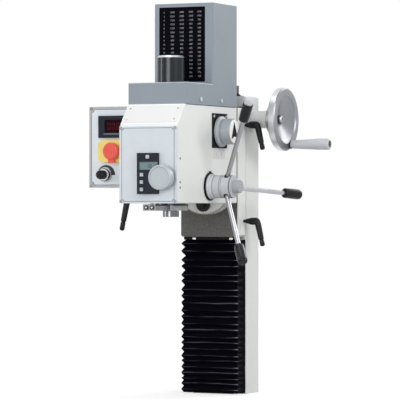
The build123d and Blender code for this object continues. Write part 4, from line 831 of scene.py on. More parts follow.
class MILL_OT_finish_metals(Operator):
    """Turned, ground and bright metal"""

    bl_idname = "mill.finish_metals"
    bl_label = "Finish metals"

    def execute(self, context):
        tint = colours()
        steel = tint.steel
        pinions = "feed_pinion_shaft feed_spring spring_cap"
        quill = "quill spindle spindle_bearings drawbar depth_rod spindle_gear"
        lift = "z_leadscrew z_bevel_gear z_screw_bearings"
        gears = "layshaft_gears gearbox_bearings motor_rotor"
        wheel_marks = (HANDWHEEL, X_AXIS)
        fine_marks = (SPINDLE, Z_AXIS, 1500.0, 0.000001, 0.85, 0.04)
        lift_marks = (Vector(), Z_AXIS, 900.0, 0.00005)
        bright = (0.5, RUBBED_STEEL, 0.25)
        for name, members, base, rough, marks, rubbed in (
            ("dial_turned", "handwheel_dial", (0.60, 0.61, 0.63), 0.33, wheel_marks, bright),
            ("wheel_shaft", "handwheel_shaft", steel, 0.3, wheel_marks, bright),
            ("pinion_turned", pinions, steel, 0.32, (FEED, X_AXIS), bright),
            ("stud_steel", "handwheel_grip_stud", shade(steel, 0.16), 0.32, (GRIP, X_AXIS), ()),
            ("spindle_steel", quill, shade(steel, 0.55), 0.18, fine_marks, (0.4, DULL_STEEL, 0.25)),
            ("leadscrew_steel", lift, steel, 0.3, lift_marks, ()),
            ("gear_steel", gears, steel, 0.32, (LAYSHAFT, Z_AXIS), ()),
        ):
            finish = Finish(name, base, rough, 1.0).turned(*marks)
            if rubbed:
                finish.worn(*rubbed)
            show(members, finish)

        cover_screw = shade(tint.satin, 1.2)
        housing = shade(tint.aluminium, 0.8)
        bolt_grain, bolt_edge = (1800.0, 0.00003, 0.7, 0.12), (0.7, (0.22, 0.21, 0.2), 0.35)
        pale, dull = (0.6, RUBBED_STEEL, 0.25), (0.6, DULL_STEEL, 0.25)
        for name, node, base, rough, metal, grain, rubbed in (
            ("screw_steel", "motor_cover_screws", cover_screw, 0.34, 0.3, SCREW_GRAIN, pale),
            ("panel_screw_steel", "panel_screws", steel, 0.34, 0.6, SCREW_GRAIN, dull),
            ("black_oxide", "tilt_bolts", OXIDE, 0.34, 0.6, bolt_grain, bolt_edge),
            ("bronze_nut", "z_nut", tint.bronze, 0.35, 1.0, (600.0, 0.00004, 0.75, 0.1), ()),
            ("motor_aluminium", "motor_housing", housing, 0.5, 0.9, (900.0, 0.0001, 0.8, 0.1), ()),
        ):
            finish = Finish(name, base, rough, metal).grain(*grain)
            if rubbed:
                finish.worn(*rubbed)
            show(node, finish)

        hub = satin("hub_satin", 0.90, 0.42, FEED)
        # Painted light and shade: a lighter band by the flange as painted highlight, and dark bands
        # as painted shade in two grooves and in the gap to the clutch knob
        hub_light_and_shade = [(0.03, 0.19, 1.12), (0.21, 0.24, 0.45), (0.50, 0.53, 0.45), (0.93, 0.99, 0.25)]
        banded(hub, "feed_hub", tint.satin, hub_light_and_shade)
        show("feed_hub", hub)
        show("handwheel_grip", satin("grip_satin", 1.0, 0.38, GRIP))

        spokes = Finish("spoke_bright", shade(tint.chrome, 1.5), 0.27, 1.0)
        spokes.grain(1600.0, 0.00001, 0.88, 0.10)
        # Painted reflection: the two lower spokes are painted 1.5 times brighter than the upper
        # one, which keeps the plain bright steel
        upper = spokes.between(spokes.split("Object")["Z"], FEED.z + 0.014, FEED.z + 0.018)
        show("feed_spokes", spokes.layer(upper, tint.chrome, 0.36))

        wheel_finishes(tint)
        show("depth_bracket", bracket_steel(tint))
        iron = Finish("machined_iron", tint.iron, 0.4, 0.8)
        show("saddle_gib", iron.brushed((900.0, 900.0, 30.0)))
        return {"FINISHED"}


class MILL_OT_finish_plastics(Operator):
    """Moulded knobs, housings and buttons"""

    bl_idname = "mill.finish_plastics"
    bl_label = "Finish plastics"

    def execute(self, context):
        tint = colours()
        buttons = " ".join(f"readout_button_{row}" for row in ("top", "upper", "middle", "lower"))
        for name, members, base, rough, coat in (
            ("readout_black", "depth_readout panel_meter", tint.navy, 0.36, 0.0),
            ("button_grey", buttons, shade(tint.knob_grey, 1.1), 0.5, 0.0),
            ("stop_red", "stop_button", tint.red, 0.32, 0.35),
            ("switch_yellow", "stop_switch_base", tint.yellow, 0.36, 0.25),
        ):
            show(members, moulded(name, base, rough, coat=coat))

        _, cap_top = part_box("drawbar_cap")
        cap = Finish("cap_gloss", tint.cap_grey, 0.20).grain(400.0, 0.000002, 0.8, 0.04)
        # Painted highlight: a bright, more metallic band round the top edge of the cap stands in
        # for the light caught by its rounded top
        top_highlight_band = cap.between(cap.split("Object")["Z"], cap_top.z - 0.0042, cap_top.z - 0.0036)
        cap.layer(top_highlight_band, (0.62, 0.65, 0.69), 0.3, 0.7).set(Specular_IOR_Level=0.32)
        show("drawbar_cap", cap)

        knob = Finish("fine_feed_grey", tint.knob_grey, 0.40, 0.1)
        knob.turned(FINE_FEED, Y_AXIS, 900.0, 0.00002, 0.94, 0.06).worn(0.6, RUBBED_SHEET, 0.3)
        reach = knob.radius(FINE_FEED, Y_AXIS)
        # Painted shade: a darker ring near the knob's edge stands in for the shade of its step
        groove_shade = knob.window(reach, (0.0190, 0.0193), (0.0201, 0.0198))
        show("fine_feed_knob", knob.layer(groove_shade, shade(tint.knob_grey, 0.72)))

        selector = Finish("selector_grey", shade(tint.knob_grey, 0.82), 0.45, 0.15)
        selector.turned(SELECTOR, X_AXIS, 900.0, 0.00002, 0.9, 0.06)
        selector.worn(0.6, (0.7, 0.71, 0.73), 0.3)
        selector_bands = [(0.28, 0.46, 1.05), (0.50, 0.64, 0.60)]
        banded(selector, "gear_selector_knob", tint.knob_grey, selector_bands)
        show("gear_selector_knob", selector)
        return {"FINISHED"}


# Points of the bellows: along a side, across the front and from a valley to a ridge
SIDE_STEPS = 12
FRONT_STEPS = 44
FOLD_STEPS = 4


def fold_levels(low, high, count):
    """Uneven heights of valleys and ridges, from the foot up."""
    spans = []
    for fold in range(count):
        drift = 1.0 + 0.20 * math.sin(1.9 * fold + 0.4) + 0.16 * math.sin(4.3 * fold + 1.1)
        drift *= 0.80 + 0.40 * fold / count
        lean = 0.5 + 0.10 * math.sin(2.7 * fold)
        spans += [drift * lean, drift * (1.0 - lean)]
    scale = (high - low) / sum(spans)
    levels = [low]
    for span in spans:
        levels.append(levels[-1] + span * scale)
    return levels


def fold_rows(levels, count, depth):
    """Height, inset and order of each row of points, with deeper valleys towards the top."""
    rows = []
    for level, (start, end) in enumerate(zip(levels, levels[1:])):
        fold = (level + 1) // 2
        opened = min(1.0, max(0.0, 3.2 * fold / count - 2.0))
        valley = depth * (0.52 + 0.36 * opened + 0.12 * math.sin(3.1 * fold))
        for step in range(FOLD_STEPS):
            part = step / FOLD_STEPS
            open_share = part if level % 2 == 0 else 1.0 - part
            puff = 0.09 * math.sin(math.pi * part)
            inset = valley * max(0.0, 1.0 - open_share**1.15 - puff)
            rows.append((start + (end - start) * part, inset, level + part))
    rows.append((levels[-1], depth, float(len(levels) - 1)))
    return rows


def fold_path(half, inset, front, back):
    """Points around the two sides and the front, drawn in less towards the back."""
    side = []
    for step in range(SIDE_STEPS):
        share = step / SIDE_STEPS
        side.append((half - inset * min(1.0, 1.6 * share), back + (front - back) * share))
    width = half - inset
    points = [(-x, y) for x, y in side]
    points += [(-width + 2 * width * step / FRONT_STEPS, front) for step in range(FRONT_STEPS + 1)]
    return points + side[::-1]


def fold_wall(low, high):
    """The folded wall, kept inside its box, with ridges that wander and a front that sags."""
    size = sizes()
    ends = 0.012
    deepest_sag = 0.0006
    levels = fold_levels(low.z, high.z, size.fold_count)
    shape = bmesh.new()
    skins = []
    for height, inset, order in fold_rows(levels, size.fold_count, size.fold_depth):
        free = min(1.0, (height - low.z) / ends, (high.z - height) / ends)
        outline = fold_path(high.x, inset, low.y + inset, high.y)
        points = []
        for index, (x, y) in enumerate(outline):
            run = index / len(outline)
            wander = math.sin(9.0 * run + 1.3 * order) + 0.6 * math.sin(23.0 * run + 2.1 * order)
            z = height + free * 0.5 * size.fold_wave * wander
            if SIDE_STEPS <= index <= SIDE_STEPS + FRONT_STEPS:
                sag = deepest_sag * math.sin(math.pi * (x + high.x) / (2 * high.x))
                y += max(0.0, sag * (0.5 + 0.5 * math.sin(1.7 * order)))
            points.append(shape.verts.new((x, y, min(max(z, low.z), high.z))))
        skins.append(points)
    for lower, upper in zip(skins, skins[1:]):
        for corners in zip(lower, lower[1:], upper[1:], upper):
            shape.faces.new(corners)
    bmesh.ops.recalc_face_normals(shape, faces=shape.faces)
    foremost = min(shape.faces, key=lambda face: face.calc_center_median().y)
    if foremost.normal.y > 0.0:
        bmesh.ops.reverse_faces(shape, faces=shape.faces)
    bmesh.ops.solidify(shape, geom=shape.faces[:], thickness=size.fold_wall)
    for vert in shape.verts:
        vert.co.x = min(max(vert.co.x, -high.x), high.x)
        vert.co.y = min(max(vert.co.y, low.y), high.y)
        vert.co.z = min(max(vert.co.z, low.z), high.z)
    return shape


def bellows_rubber(low, high):
    """Dull rubber, with painted highlights along its ridges, brightest at their right corners."""
    rubber = Finish("bellows_rubber", colours().rubber, 0.50, edge=0.0006)
    rubber.brushed((900.0, 900.0, 2200.0), 0.00004, 0.6, 0.1)
    rubber.worn(0.2, (0.020, 0.020, 0.030), 0.45)
    spot = rubber.split("Object")
    # Painted highlight: the front of each ridge is lighter in patches, and lighter still near the
    # right corner
    ridge = rubber.between(spot["Y"], low.y + 0.0007, low.y + 0.0001)
    tone = rubber.group("surface_grain", Scale=900.0, Height=0.0).outputs["Tone"]
    patchy = rubber.between(tone, 0.15, 0.75)
    rubber.layer(rubber.both(ridge, patchy), (0.075, 0.072, 0.108), 0.45)
    corner = rubber.between(spot["X"], high.x - 0.0110, high.x - 0.0050)
    rubber.layer(rubber.both(ridge, corner), (0.16, 0.16, 0.20), 0.45)
    return rubber.set(Specular_IOR_Level=0.012)


class MILL_OT_build_bellows(Operator):
    """Folded rubber way cover, and pale marks on its top strip that stand in for the highlights of
    its screws
    """

    bl_idname = "mill.build_bellows"
    bl_label = "Build bellows"

    def execute(self, context):
        low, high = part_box("bellows")
        shape = fold_wall(low, high)
        rubber = bellows_rubber(low, high)
        folds = add_piece(
            "bellows_folds", shape, [rubber], "column_frame", angle=50.0
        )
        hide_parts("bellows")
        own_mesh(folds)

        strip_low, strip_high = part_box("bellows_top_strip")
        slots = bmesh.new()
        # Painted highlight: two flat pale marks on the strip's front stand in for its screw heads
        # catching the light
        outline = rounded((-0.0038, 0.0038), (-0.0019, 0.0019), 0.0017)
        for x in (-0.033, 0.047):
            spot = Vector((x, strip_low.y, (strip_low.z + strip_high.z) / 2 - 0.0006))
            sheet(slots, place(spot, -Y_AXIS), outline, 0.0004)
        pale = Finish("strip_screw_highlights", (0.84, 0.84, 0.82), 0.36, edge=0.0002)
        pale.grain(2500.0, 0.00001, 0.9, 0.1)
        add_piece("strip_screw_highlights", slots, [pale], "saddle_slide")
        return {"FINISHED"}


def panel_sheet(node, holes, finishes, inset, notch):
    """Sheet with notched corners and a printed frame on a panel that faces the front."""
    low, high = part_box(node)
    inset_x, inset_z = inset
    thick = sizes().sheet_thickness
    facing = front_face(low.y)
    spans = [(low.x + inset_x, high.x - inset_x), (low.z + inset_z, high.z - inset_z)]
    inner = notched(*grown(spans, -sizes().frame_line), notch)
    shape = bmesh.new()
    sheet(shape, facing, inner, thick, 0, holes)
    sheet(shape, facing, notched(*spans, notch), thick * 1.1, 1, [inner])
    add_piece(f"{node}_sheet", shape, finishes, "head")


def readout_screen(tint):
    """Readout's screen with its digits and a thin rim."""
    low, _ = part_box("depth_readout")
    window = ((-0.0150, 0.0226), (0.4411, 0.4552))
    face = front_face(low.y + 0.0008)
    shape = bmesh.new()
    digit_size = (0.0032, 0.0075, 0.00008)
    display(shape, face, window, 0.0003, "00.0", (0.0030, 0.4440), 0.0046, digit_size)
    screen = Finish("readout_screen", tint.screen, 0.22, edge=0.0002)
    screen.grain(4000.0, 0.00001, 0.9, 0.05).set(Coat_Weight=0.5, Coat_Roughness=0.05)
    dark = ink_and_shade_finish("screen_digits", (0.035, 0.045, 0.045), 0.3)
    add_piece("readout_screen", shape, [screen, dark], "head")

    rim = bmesh.new()
    outer = rounded(*grown(window, 0.0008), 0.0012)
    sheet(rim, front_face(low.y), outer, 0.0004, 0, [rounded(*window, 0.0008)])
    grey = ink_and_shade_finish("screen_rim", (0.055, 0.06, 0.075), 0.35)
    add_piece("readout_screen_rim", rim, [grey], "head")


def slanted_plate(tint):
    """Bare plate with four small screws on the slanted face."""
    up = (SLANT_TOP - SLANT_FOOT).normalized()
    half = (SLANT_TOP - SLANT_FOOT).length / 2
    thick = 0.0006
    facing = place((SLANT_FOOT + SLANT_TOP) / 2, X_AXIS.cross(up), up)
    shape = bmesh.new()
    sheet(shape, facing, rounded((-0.0575, 0.0575), (0.0035 - half, half - 0.0040), 0.002), thick)
    white = Finish("bare_plate", tint.plate_white, 0.32, edge=0.0004)
    white.grain(1500.0, 0.00002, 0.97, 0.05)
    add_piece("slanted_plate", shape, [white], "head")

    screws = bmesh.new()
    for x in (-0.0500, 0.0500):
        for y in (0.0115 - half, half - 0.0117):
            screw_head(screws, shifted(facing, x, y, thick), 0.0017, 0.0007, cross(0.0010, 0.00024))
    steel = Finish("plate_screws", (0.50, 0.50, 0.52), 0.34, 0.6)
    steel.grain(*PLATED_GRAIN)
    add_piece("slanted_plate_screws", screws, [steel], "head")


def side_screws():
    """Three set screws on the head's right side."""
    screws = bmesh.new()
    profile = [
        (0.0021, 0.0),
        (0.0021, 0.00025),
        (hexagon(0.0013), 0.00025),
        (hexagon(0.0012), 0.00005),
    ]
    y = -0.329
    for z in (0.4620, 0.4175, 0.4070):
        rings(screws, place(Vector((HEAD_SIDE, y, z)), X_AXIS), profile, 36)
    dark = Finish("side_screws", OXIDE, 0.4, edge=0.0002)
    dark.grain(*SCREW_GRAIN).set(Specular_IOR_Level=0.1)
    add_piece("head_side_screws", screws, [dark], "head")


class MILL_OT_dress_front(Operator):
    """Sheets of both panels, readout screen, bare plate and side screws"""

    bl_idname = "mill.dress_front"
    bl_label = "Dress front panel"

    def execute(self, context):
        tint = colours()
        line = ink_and_shade_finish("frame_ink", (0.13, 0.14, 0.19))
        feed_hole = circle(FINE_FEED.x, FINE_FEED.z, 0.0110)
        speed_hole = circle(SPEED.x, SPEED.z, 0.0060)
        stop_hole = circle(STOP_SWITCH.x, STOP_SWITCH.z, 0.0095)
        inset, notch = sizes().sheet_inset, sizes().sheet_notch
        # Painted light: the control panel's film is 1.18 times brighter than the front panel's, to
        # make up for the head's shadow over it
        for node, name, share, holes, insets, cut in (
            ("front_panel", "panel_film", 1.0, [feed_hole], (0.0047, 0.0030), 0.0038),
            ("control_panel", "control_film", 1.18, [speed_hole, stop_hole], (inset, inset), notch),
        ):
            film = Finish(name, shade(tint.sheet, share), 0.42, edge=0.0001)
            film.grain(2200.0, 0.00002, 0.965, 0.05)
            panel_sheet(node, holes, [film, line], insets, cut)
        readout_screen(tint)
        slanted_plate(tint)
        side_screws()
        return {"FINISHED"}


def meter_front(tint):
    """Meter's dark window with its unlit digits, and the line below it."""
    low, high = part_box("panel_meter")
    window = ((low.x + 0.0135, high.x - 0.0135), (high.z - 0.0328, high.z - 0.0074))
    start = (window[0][0] + 0.0060, window[1][0] + 0.0055)
    face = front_face(low.y + 0.0015)
    shape = bmesh.new()
    display(shape, face, window, 0.0005, "0000", start, 0.0094, (0.0068, 0.0138, 0.00006))
    glass = Finish("meter_window", tint.window, 0.14, edge=0.0002)
    glass.grain(3000.0, 0.000004, 0.8, 0.05).set(Specular_IOR_Level=0.05)
    lamps = ink_and_shade_finish("meter_digits", (0.070, 0.006, 0.012), 0.35).set(Specular_IOR_Level=0.06)
    add_piece("meter_window", shape, [glass, lamps], "head")

    bar = bmesh.new()
    spans = ((low.x + 0.0115, high.x - 0.0115), (high.z - 0.0366, high.z - 0.0342))
    sheet(bar, front_face(low.y), rounded(*spans, 0.0006), 0.0003)
    pale = ink_and_shade_finish("meter_line", (0.13, 0.135, 0.15), 0.4)
    add_piece("meter_line", bar, [pale], "head")


def speed_scale():
    """Black tapering scale around the speed knob, on the panel's sheet."""
    start, sweep, steps = 152, -154, 48
    reach = 0.0193
    outer, inner = [], []
    for step in range(steps + 1):
        share = step / steps
        turn = math.radians(start + sweep * share)
        width = 0.0003 + 0.0086 * share**0.7
        for points, radius in ((outer, reach), (inner, reach - width)):
            points.append((SPEED.x + radius * math.cos(turn), SPEED.z + radius * math.sin(turn)))
    shape = bmesh.new()
    sheet(shape, front_face(SPEED.y - sizes().sheet_thickness), outer + inner[::-1], 0.0001)
    black = ink_and_shade_finish("scale_ink", (0.016, 0.016, 0.018))
    add_piece("speed_scale", shape, [black], "head")


def speed_knob():
    """Fluted speed knob with a bright collar and a pale pointer."""
    low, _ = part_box("speed_knob")
    total = 0.028
    skirt = 0.012
    flutes = (0.00045, 24)
    facing = place(Vector((SPEED.x, low.y + total, SPEED.z)), -Y_AXIS)
    shape = bmesh.new()
    body = [
        (0.0030, -0.012),
        (0.0030, 0.0),
        (0.0084, 0.0),
        (0.0090, 0.0056),
        (0.0121, 0.0072),
        (waved(0.0128, *flutes), 0.0080),
        (waved(0.0128, *flutes), skirt - 0.0009),
        (0.0122, skirt - 0.0002),
        (0.0108, skirt),
    ]
    rings(shape, facing, body, 144, 0)
    collar = [(0.0116, skirt - 0.0001), (0.0115, skirt + 0.0004), (0.0095, skirt + 0.0006)]
    rings(shape, facing, collar, 72, 2)
    grip = [
        (0.0086, skirt),
        (waved(0.0088, *flutes), skirt + 0.0016),
        (waved(0.0088, *flutes), total - 0.0016),
        (0.0083, total - 0.0005),
        (0.0075, total),
    ]
    rings(shape, facing, grip, 144, 0)
    box(shape, facing, (-0.0006, 0.0006), (0.0030, 0.0072), (total - 0.0002, total), 1)
    black = moulded("speed_knob_black", colours().black, 0.46)
    white = ink_and_shade_finish("pointer_white", (0.75, 0.75, 0.75))
    bright = Finish("speed_ring", (0.62, 0.63, 0.65), 0.3, 0.9, edge=0.0002)
    bright.turned(SPEED, Y_AXIS, 2500.0, 0.00001, 0.8, 0.06)
    knob = add_piece(
        "speed_knob_fluted", shape, [black, white, bright], "speed_control"
    )
    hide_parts("speed_knob")


class MILL_OT_dress_controls(Operator):
    """Meter window, speed scale and the fluted speed knob"""

    bl_idname = "mill.dress_controls"
    bl_label = "Dress controls"

    def execute(self, context):
        meter_front(colours())
        speed_scale()
        speed_knob()
        return {"FINISHED"}


class MILL_OT_dress_selector(Operator):
    """Selector's disc with its pointer, plate screws and a label with two numbers"""

    bl_idname = "mill.dress_selector"
    bl_label = "Dress selector"

    def execute(self, context):
        facing = place(SELECTOR, X_AXIS)
        shape = bmesh.new()
        rings(shape, facing, [(0.0230, 0.0), (0.0230, 0.0002), (0.0226, 0.0004)], 72)
        pointer = [(-0.0150, -0.0140), (0.0, -0.0095), (0.0150, -0.0140), (0.0, 0.0195)]
        turned = facing @ Matrix.Rotation(math.radians(4), 4, "Z")
        sheet(shape, shifted(turned, 0.0, 0.0, 0.0004), pointer, 0.0001, 1)
        white = Finish("selector_disc", shade(colours().plate_white, 1.2), 0.3, edge=0.0003)
        white.grain(2000.0, 0.00001, 0.96, 0.05)
        black = ink_and_shade_finish("pointer_ink", (0.006, 0.006, 0.008)).set(Specular_IOR_Level=0.06)
        add_piece("selector_disc", shape, [white, black], "selector")

        low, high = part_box("selector_plate")
        inset = 0.006
        screws = bmesh.new()
        for y in (low.y + inset, high.y - inset):
            spot = place(Vector((high.x, y, high.z - inset)), X_AXIS)
            screw_head(screws, spot, 0.0027, 0.0012, cross(0.0016, 0.00035))
        steel = Finish("selector_screws", (0.55, 0.56, 0.58), 0.3, 0.9, edge=0.0002)
        steel.grain(*PLATED_GRAIN)
        add_piece("selector_screws", screws, [steel], "head")

        label = bmesh.new()
        thick = 0.0002
        facing = place(Vector((HEAD_SIDE, 0, 0)), X_AXIS)
        middle = (low.y + high.y) / 2
        spans = ((middle - 0.0300, middle + 0.0260), (low.z - 0.0215, low.z - 0.0025))
        sheet(label, facing, rounded(*spans, 0.0012), thick)
        for text, y in (("1", middle - 0.014), ("2", middle + 0.010)):
            numerals(label, text, shifted(facing, y, low.z - 0.012, thick), 0.0085, 0.00008, 1)
        pale = Finish("label_film", (0.70, 0.70, 0.69), 0.4, edge=0.0001)
        pale.grain(2500.0, 0.00001, 0.95, 0.05)
        grey = ink_and_shade_finish("label_ink", (0.30, 0.30, 0.33))
        add_piece("selector_label", label, [pale, grey], "head")
        return {"FINISHED"}


def feed_grips(tint):
    """Fluted grips, the upper one's end disc painted pale as a painted highlight where the others
    stay black, and the dark roots of the spokes.
    """
    flutes = {"count": sizes().knob_flutes, "power": 2}
    grip = [
        (0.0046, 0.0),
        (0.0090, 0.0),
        (0.0094, 0.0006),
        (waved(0.0096, 0.0001, **flutes), 0.0025),
        (waved(0.0100, 0.0002, **flutes), 0.0150),
        (waved(0.0100, 0.0002, **flutes), 0.0325),
        (waved(0.0099, 0.0001, **flutes), 0.0358),
        (0.0096, 0.0374),
        (0.0085, 0.0380),
    ]
    disc = [
        (0.0084, 0.0378),
        (0.0084, 0.0398),
        (0.0078, 0.0406),
        (0.0066, 0.0410),
        (0.0012, 0.0408),
    ]
    collar = [(0.0062, 0.0), (0.0060, 0.0036), (0.0047, 0.0038)]
    root_start, grip_start = 0.0218, 0.1525
    shape = bmesh.new()
    roots = bmesh.new()
    for turn in FEED_TURNS:
        out = math.cos(FEED_CONE)
        along = Vector((math.sin(FEED_CONE), out * math.cos(turn), out * math.sin(turn)))
        rings(roots, place(FEED + along * root_start, along, X_AXIS), collar, 48)
        start = place(FEED + along * grip_start, along, X_AXIS)
        rings(shape, start, grip, 128, 0)
        # Painted highlight: only the upward grip gets the pale end disc; the end discs of the
        # others are black
        rings(shape, start, disc, 64, 1 if along.z > 0.2 else 0)
    black = moulded("feed_grip_black", tint.black, 0.24, 0.000004, coat=0.15, edge=0.0001)
    bright = Finish("feed_grip_disc", (0.50, 0.51, 0.53), 0.5, edge=0.0003)
    bright.grain(2500.0, 0.00001, 0.85, 0.08).set(Specular_IOR_Level=0.1)
    grips = add_piece("feed_grips", shape, [black, bright], "feed_set")
    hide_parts("feed_knobs")
    dark = Finish("spoke_roots", DARK_INK_AND_SHADE, 0.4, 0.7, edge=0.0003)
    dark.grain(2000.0, 0.00002, 0.7, 0.1)
    add_piece("spoke_roots", roots, [dark], "feed_set")


def clutch_knob():
    """Lobed clutch knob with a waist, on the hub's end, with a dark ring at its foot as painted
    shade of the gap.
    """
    low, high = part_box("feed_clutch_knob")
    middle = (low + high) / 2
    wide = (high.z - low.z) / 2
    total = high.x - low.x
    lobes = {"count": 8, "phase": math.pi}
    profile = [
        (wide - 0.0030, 0.0011),
        (waved(wide - 0.0004, 0.0016, **lobes), 0.0013),
        (waved(wide, 0.0022, **lobes), 0.0021),
        (waved(wide, 0.0022, **lobes), 0.0044),
        (waved(wide - 0.0012, 0.0016, **lobes), 0.0056),
        (wide - 0.0052, 0.0066),
        (wide - 0.0060, 0.0078),
        (wide - 0.0052, 0.0088),
        (wide - 0.0048, total - 0.0010),
        (wide - 0.0056, total),
    ]
    shape = bmesh.new()
    facing = place(Vector((low.x, middle.y, middle.z)), X_AXIS)
    rings(shape, facing, profile, 128)
    # Painted shade: a dark ring at the knob's foot, where the gap to the hub lies in shade
    rings(shape, facing, [(wide - 0.0022, 0.0), (wide - 0.0022, 0.0012)], 64, 1)
    metal = satin("clutch_satin", 0.70, 0.42, FEED, edge=0.0003)
    gap = ink_and_shade_finish("clutch_gap_shade", DARK_INK_AND_SHADE)
    knob = add_piece("clutch_knob", shape, [metal, gap], "clutch")
    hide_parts("feed_clutch_knob")


class MILL_OT_dress_feed(Operator):
    """Grips, spoke roots and clutch knob of the quill handle"""

    bl_idname = "mill.dress_feed"
    bl_label = "Dress quill handle"

    def execute(self, context):
        feed_grips(colours())
        clutch_knob()
        return {"FINISHED"}


def sweep_ovals(shape, matrix, spine, steps=28):
    """Skins oval sections along a bent spine in the matrix's XZ plane."""
    loops = []
    for index, (x, z, wide, deep) in enumerate(spine):
        before = spine[max(0, index - 1)]
        after = spine[min(len(spine) - 1, index + 1)]
        along = Vector((after[0] - before[0], 0.0, after[1] - before[1])).normalized()
        side = Vector((along.z, 0.0, -along.x))
        loop = []
        for step in range(steps):
            angle = 2 * math.pi * step / steps
            offset = side * (wide * math.cos(angle)) + Y_AXIS * (deep * math.sin(angle))
            loop.append(shape.verts.new(matrix @ (Vector((x, 0.0, z)) + offset)))
        loops.append(loop)
    skin(shape, loops)


def clamp_lever(shape, matrix, hub, arm, lean):
    """One lever: a stud along X, a tapered hub, a bend, and an arm with a stepped tip."""
    stud = matrix @ Matrix.Rotation(math.pi / 2, 4, "Y")
    rings(shape, stud, [(0.0030, 0.0002), (0.0030, 0.0046)], 32)
    root = hub - 0.0066
    bend = 0.0030
    bend_turn = math.radians(9.3)
    tip_wide, tip_deep = 0.0049, 0.0046
    spine = [
        (0.0040, 0.0, 0.0033, 0.0033),
        (0.0046, 0.0, 0.0037, 0.0037),
        (0.0120, 0.0, 0.0060, 0.0060),
        (0.0170, 0.0, 0.0072, 0.0072),
    ]
    spine += [(0.0170 + (root - 0.0200) * t / 4, 0.0, 0.0072, 0.0071) for t in range(1, 5)]
    for step in range(1, 9):
        x = root - bend + bend * math.sin(step * bend_turn)
        z = -bend * (1.0 - math.cos(step * bend_turn))
        spine.append((x, z, 0.0072 - 0.00012 * step, 0.0070 - 0.0001 * step))
    sections = [
        (part, 0.0066 - 0.0016 * part, 0.0058 - 0.0012 * part)
        for part in (0.16, 0.3, 0.45, 0.6, 0.72, 0.78)
    ]
    neck = ((0.79, 0.0040), (0.81, 0.0040), (0.82, 0.0047), (0.94, 0.0050), (1.02, tip_wide))
    sections += [(part, wide, tip_deep) for part, wide in neck]
    end = ((1.045, 0.86), (1.065, 0.55), (1.072, 0.2))
    sections += [(part, tip_wide * share, tip_deep * share) for part, share in end]
    spine += [(root + lean * part, -arm * part, wide, deep) for part, wide, deep in sections]
    sweep_ovals(shape, matrix, spine)


class MILL_OT_dress_levers(Operator):
    """Clamp levers as smooth mouldings with a stepped tip"""

    bl_idname = "mill.dress_levers"
    bl_label = "Dress clamp levers"

    def execute(self, context):
        black = moulded("clamp_lever_black", colours().black, 0.30, edge=0.0003)
        black.set(Specular_IOR_Level=0.18)
        slide_lever, quill_lever = (36, 46, 11), (37.7, 63, 13)
        upper, lower, quill = (62.5, -40, 532), (62.5, -40, 342), (-60.5, -243.1, 392)
        for name, node, body, spot, side, reach in (
            ("upper_clamp_lever", "z_clamp_upper", "upper_clamp", upper, 1.0, slide_lever),
            ("lower_clamp_lever", "z_clamp_lower", "lower_clamp", lower, 1.0, slide_lever),
            ("quill_clamp_lever", "quill_lock_lever", "quill_lock", quill, -1.0, quill_lever),
        ):
            shape = bmesh.new()
            matrix = Matrix.Translation(Vector(spot) * MM) @ Matrix.Scale(side, 4, X_AXIS)
            clamp_lever(shape, matrix, *(value * MM for value in reach))
            piece = add_piece(name, shape, [black], body, angle=55.0)
            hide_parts(node)
        return {"FINISHED"}


class MILL_OT_dress_handwheel(Operator):
    """Marks and plain numbers on the handwheel's dial, its pointer and the grip's collar"""

    bl_idname = "mill.dress_handwheel"
    bl_label = "Dress handwheel dial"

    def execute(self, context):
        low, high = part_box("handwheel_dial")
        radius = (high.z - low.z) / 2
        middle = (low + high) / 2
        count = sizes().dial_marks
        shape = bmesh.new()
        for mark in range(count):
            turn = 2 * math.pi * mark / count
            out = Vector((0.0, math.cos(turn), math.sin(turn)))
            tall = 0.0052 if mark % 10 == 0 else 0.0040 if mark % 5 == 0 else 0.0028
            spot = Vector((low.x + 0.0021, middle.y, middle.z)) + out * (radius - 0.00003)
            facing = place(spot, out, X_AXIS)
            box(shape, facing, (-0.00018, 0.00018), (0.0, tall), (0.0, 0.00009))
            if mark % 5 == 0:
                numerals(shape, f"{mark}", shifted(facing, 0.0, 0.0073), 0.0030, 0.00006)
        ink = ink_and_shade_finish("dial_ink", DARK_INK_AND_SHADE)
        add_piece("dial_marks", shape, [ink], "handwheel_set")

        pointer = bmesh.new()
        _, bracket_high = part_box("handwheel_bracket")
        out = Vector((0.0, -0.5, 0.866))
        boss = 0.0174
        spot = Vector((bracket_high.x - 0.0065, middle.y, middle.z)) + out * boss
        box(pointer, place(spot, out, X_AXIS), (-0.0003, 0.0003), (0.0, 0.0062), (0.0, 0.00022))
        add_piece("dial_pointer", pointer, [ink], "column_frame")

        grip_low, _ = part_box("handwheel_grip")
        collar = bmesh.new()
        spot = place(Vector((grip_low.x + 0.0003, GRIP.y, GRIP.z)), X_AXIS)
        profile = [(0.0078, 0.0), (0.0089, 0.0002), (0.0089, 0.0018), (0.0081, 0.0020)]
        rings(collar, spot, profile, 64)
        add_piece("grip_collar", collar, [ink], "grip")
        return {"FINISHED"}


# Columns of the number table: drill sizes and speeds, each at a share of the plate's width
TABLE_COLUMNS = (
    (0.07, "2 3 4 5 6 7 8 9 10 11 12 13 14 15 16 18 20"),
    (0.27, "3000 2550 1910 1530 1270 1090 955 850 765 695 640 590 545 510 480 425 380"),
    (0.49, "3000 3000 2390 1910 1590 1365 1195 1060 955 870 795 735 680 640 600 530 480"),
    (0.71, "2400 1590 1190 955 795 680 595 530 480 435 400 370 340 320 300 265 240"),
    (0.91, "1590 1060 795 640 530 455 400 355 320 290 265 245 230 210 200 175 160"),
)


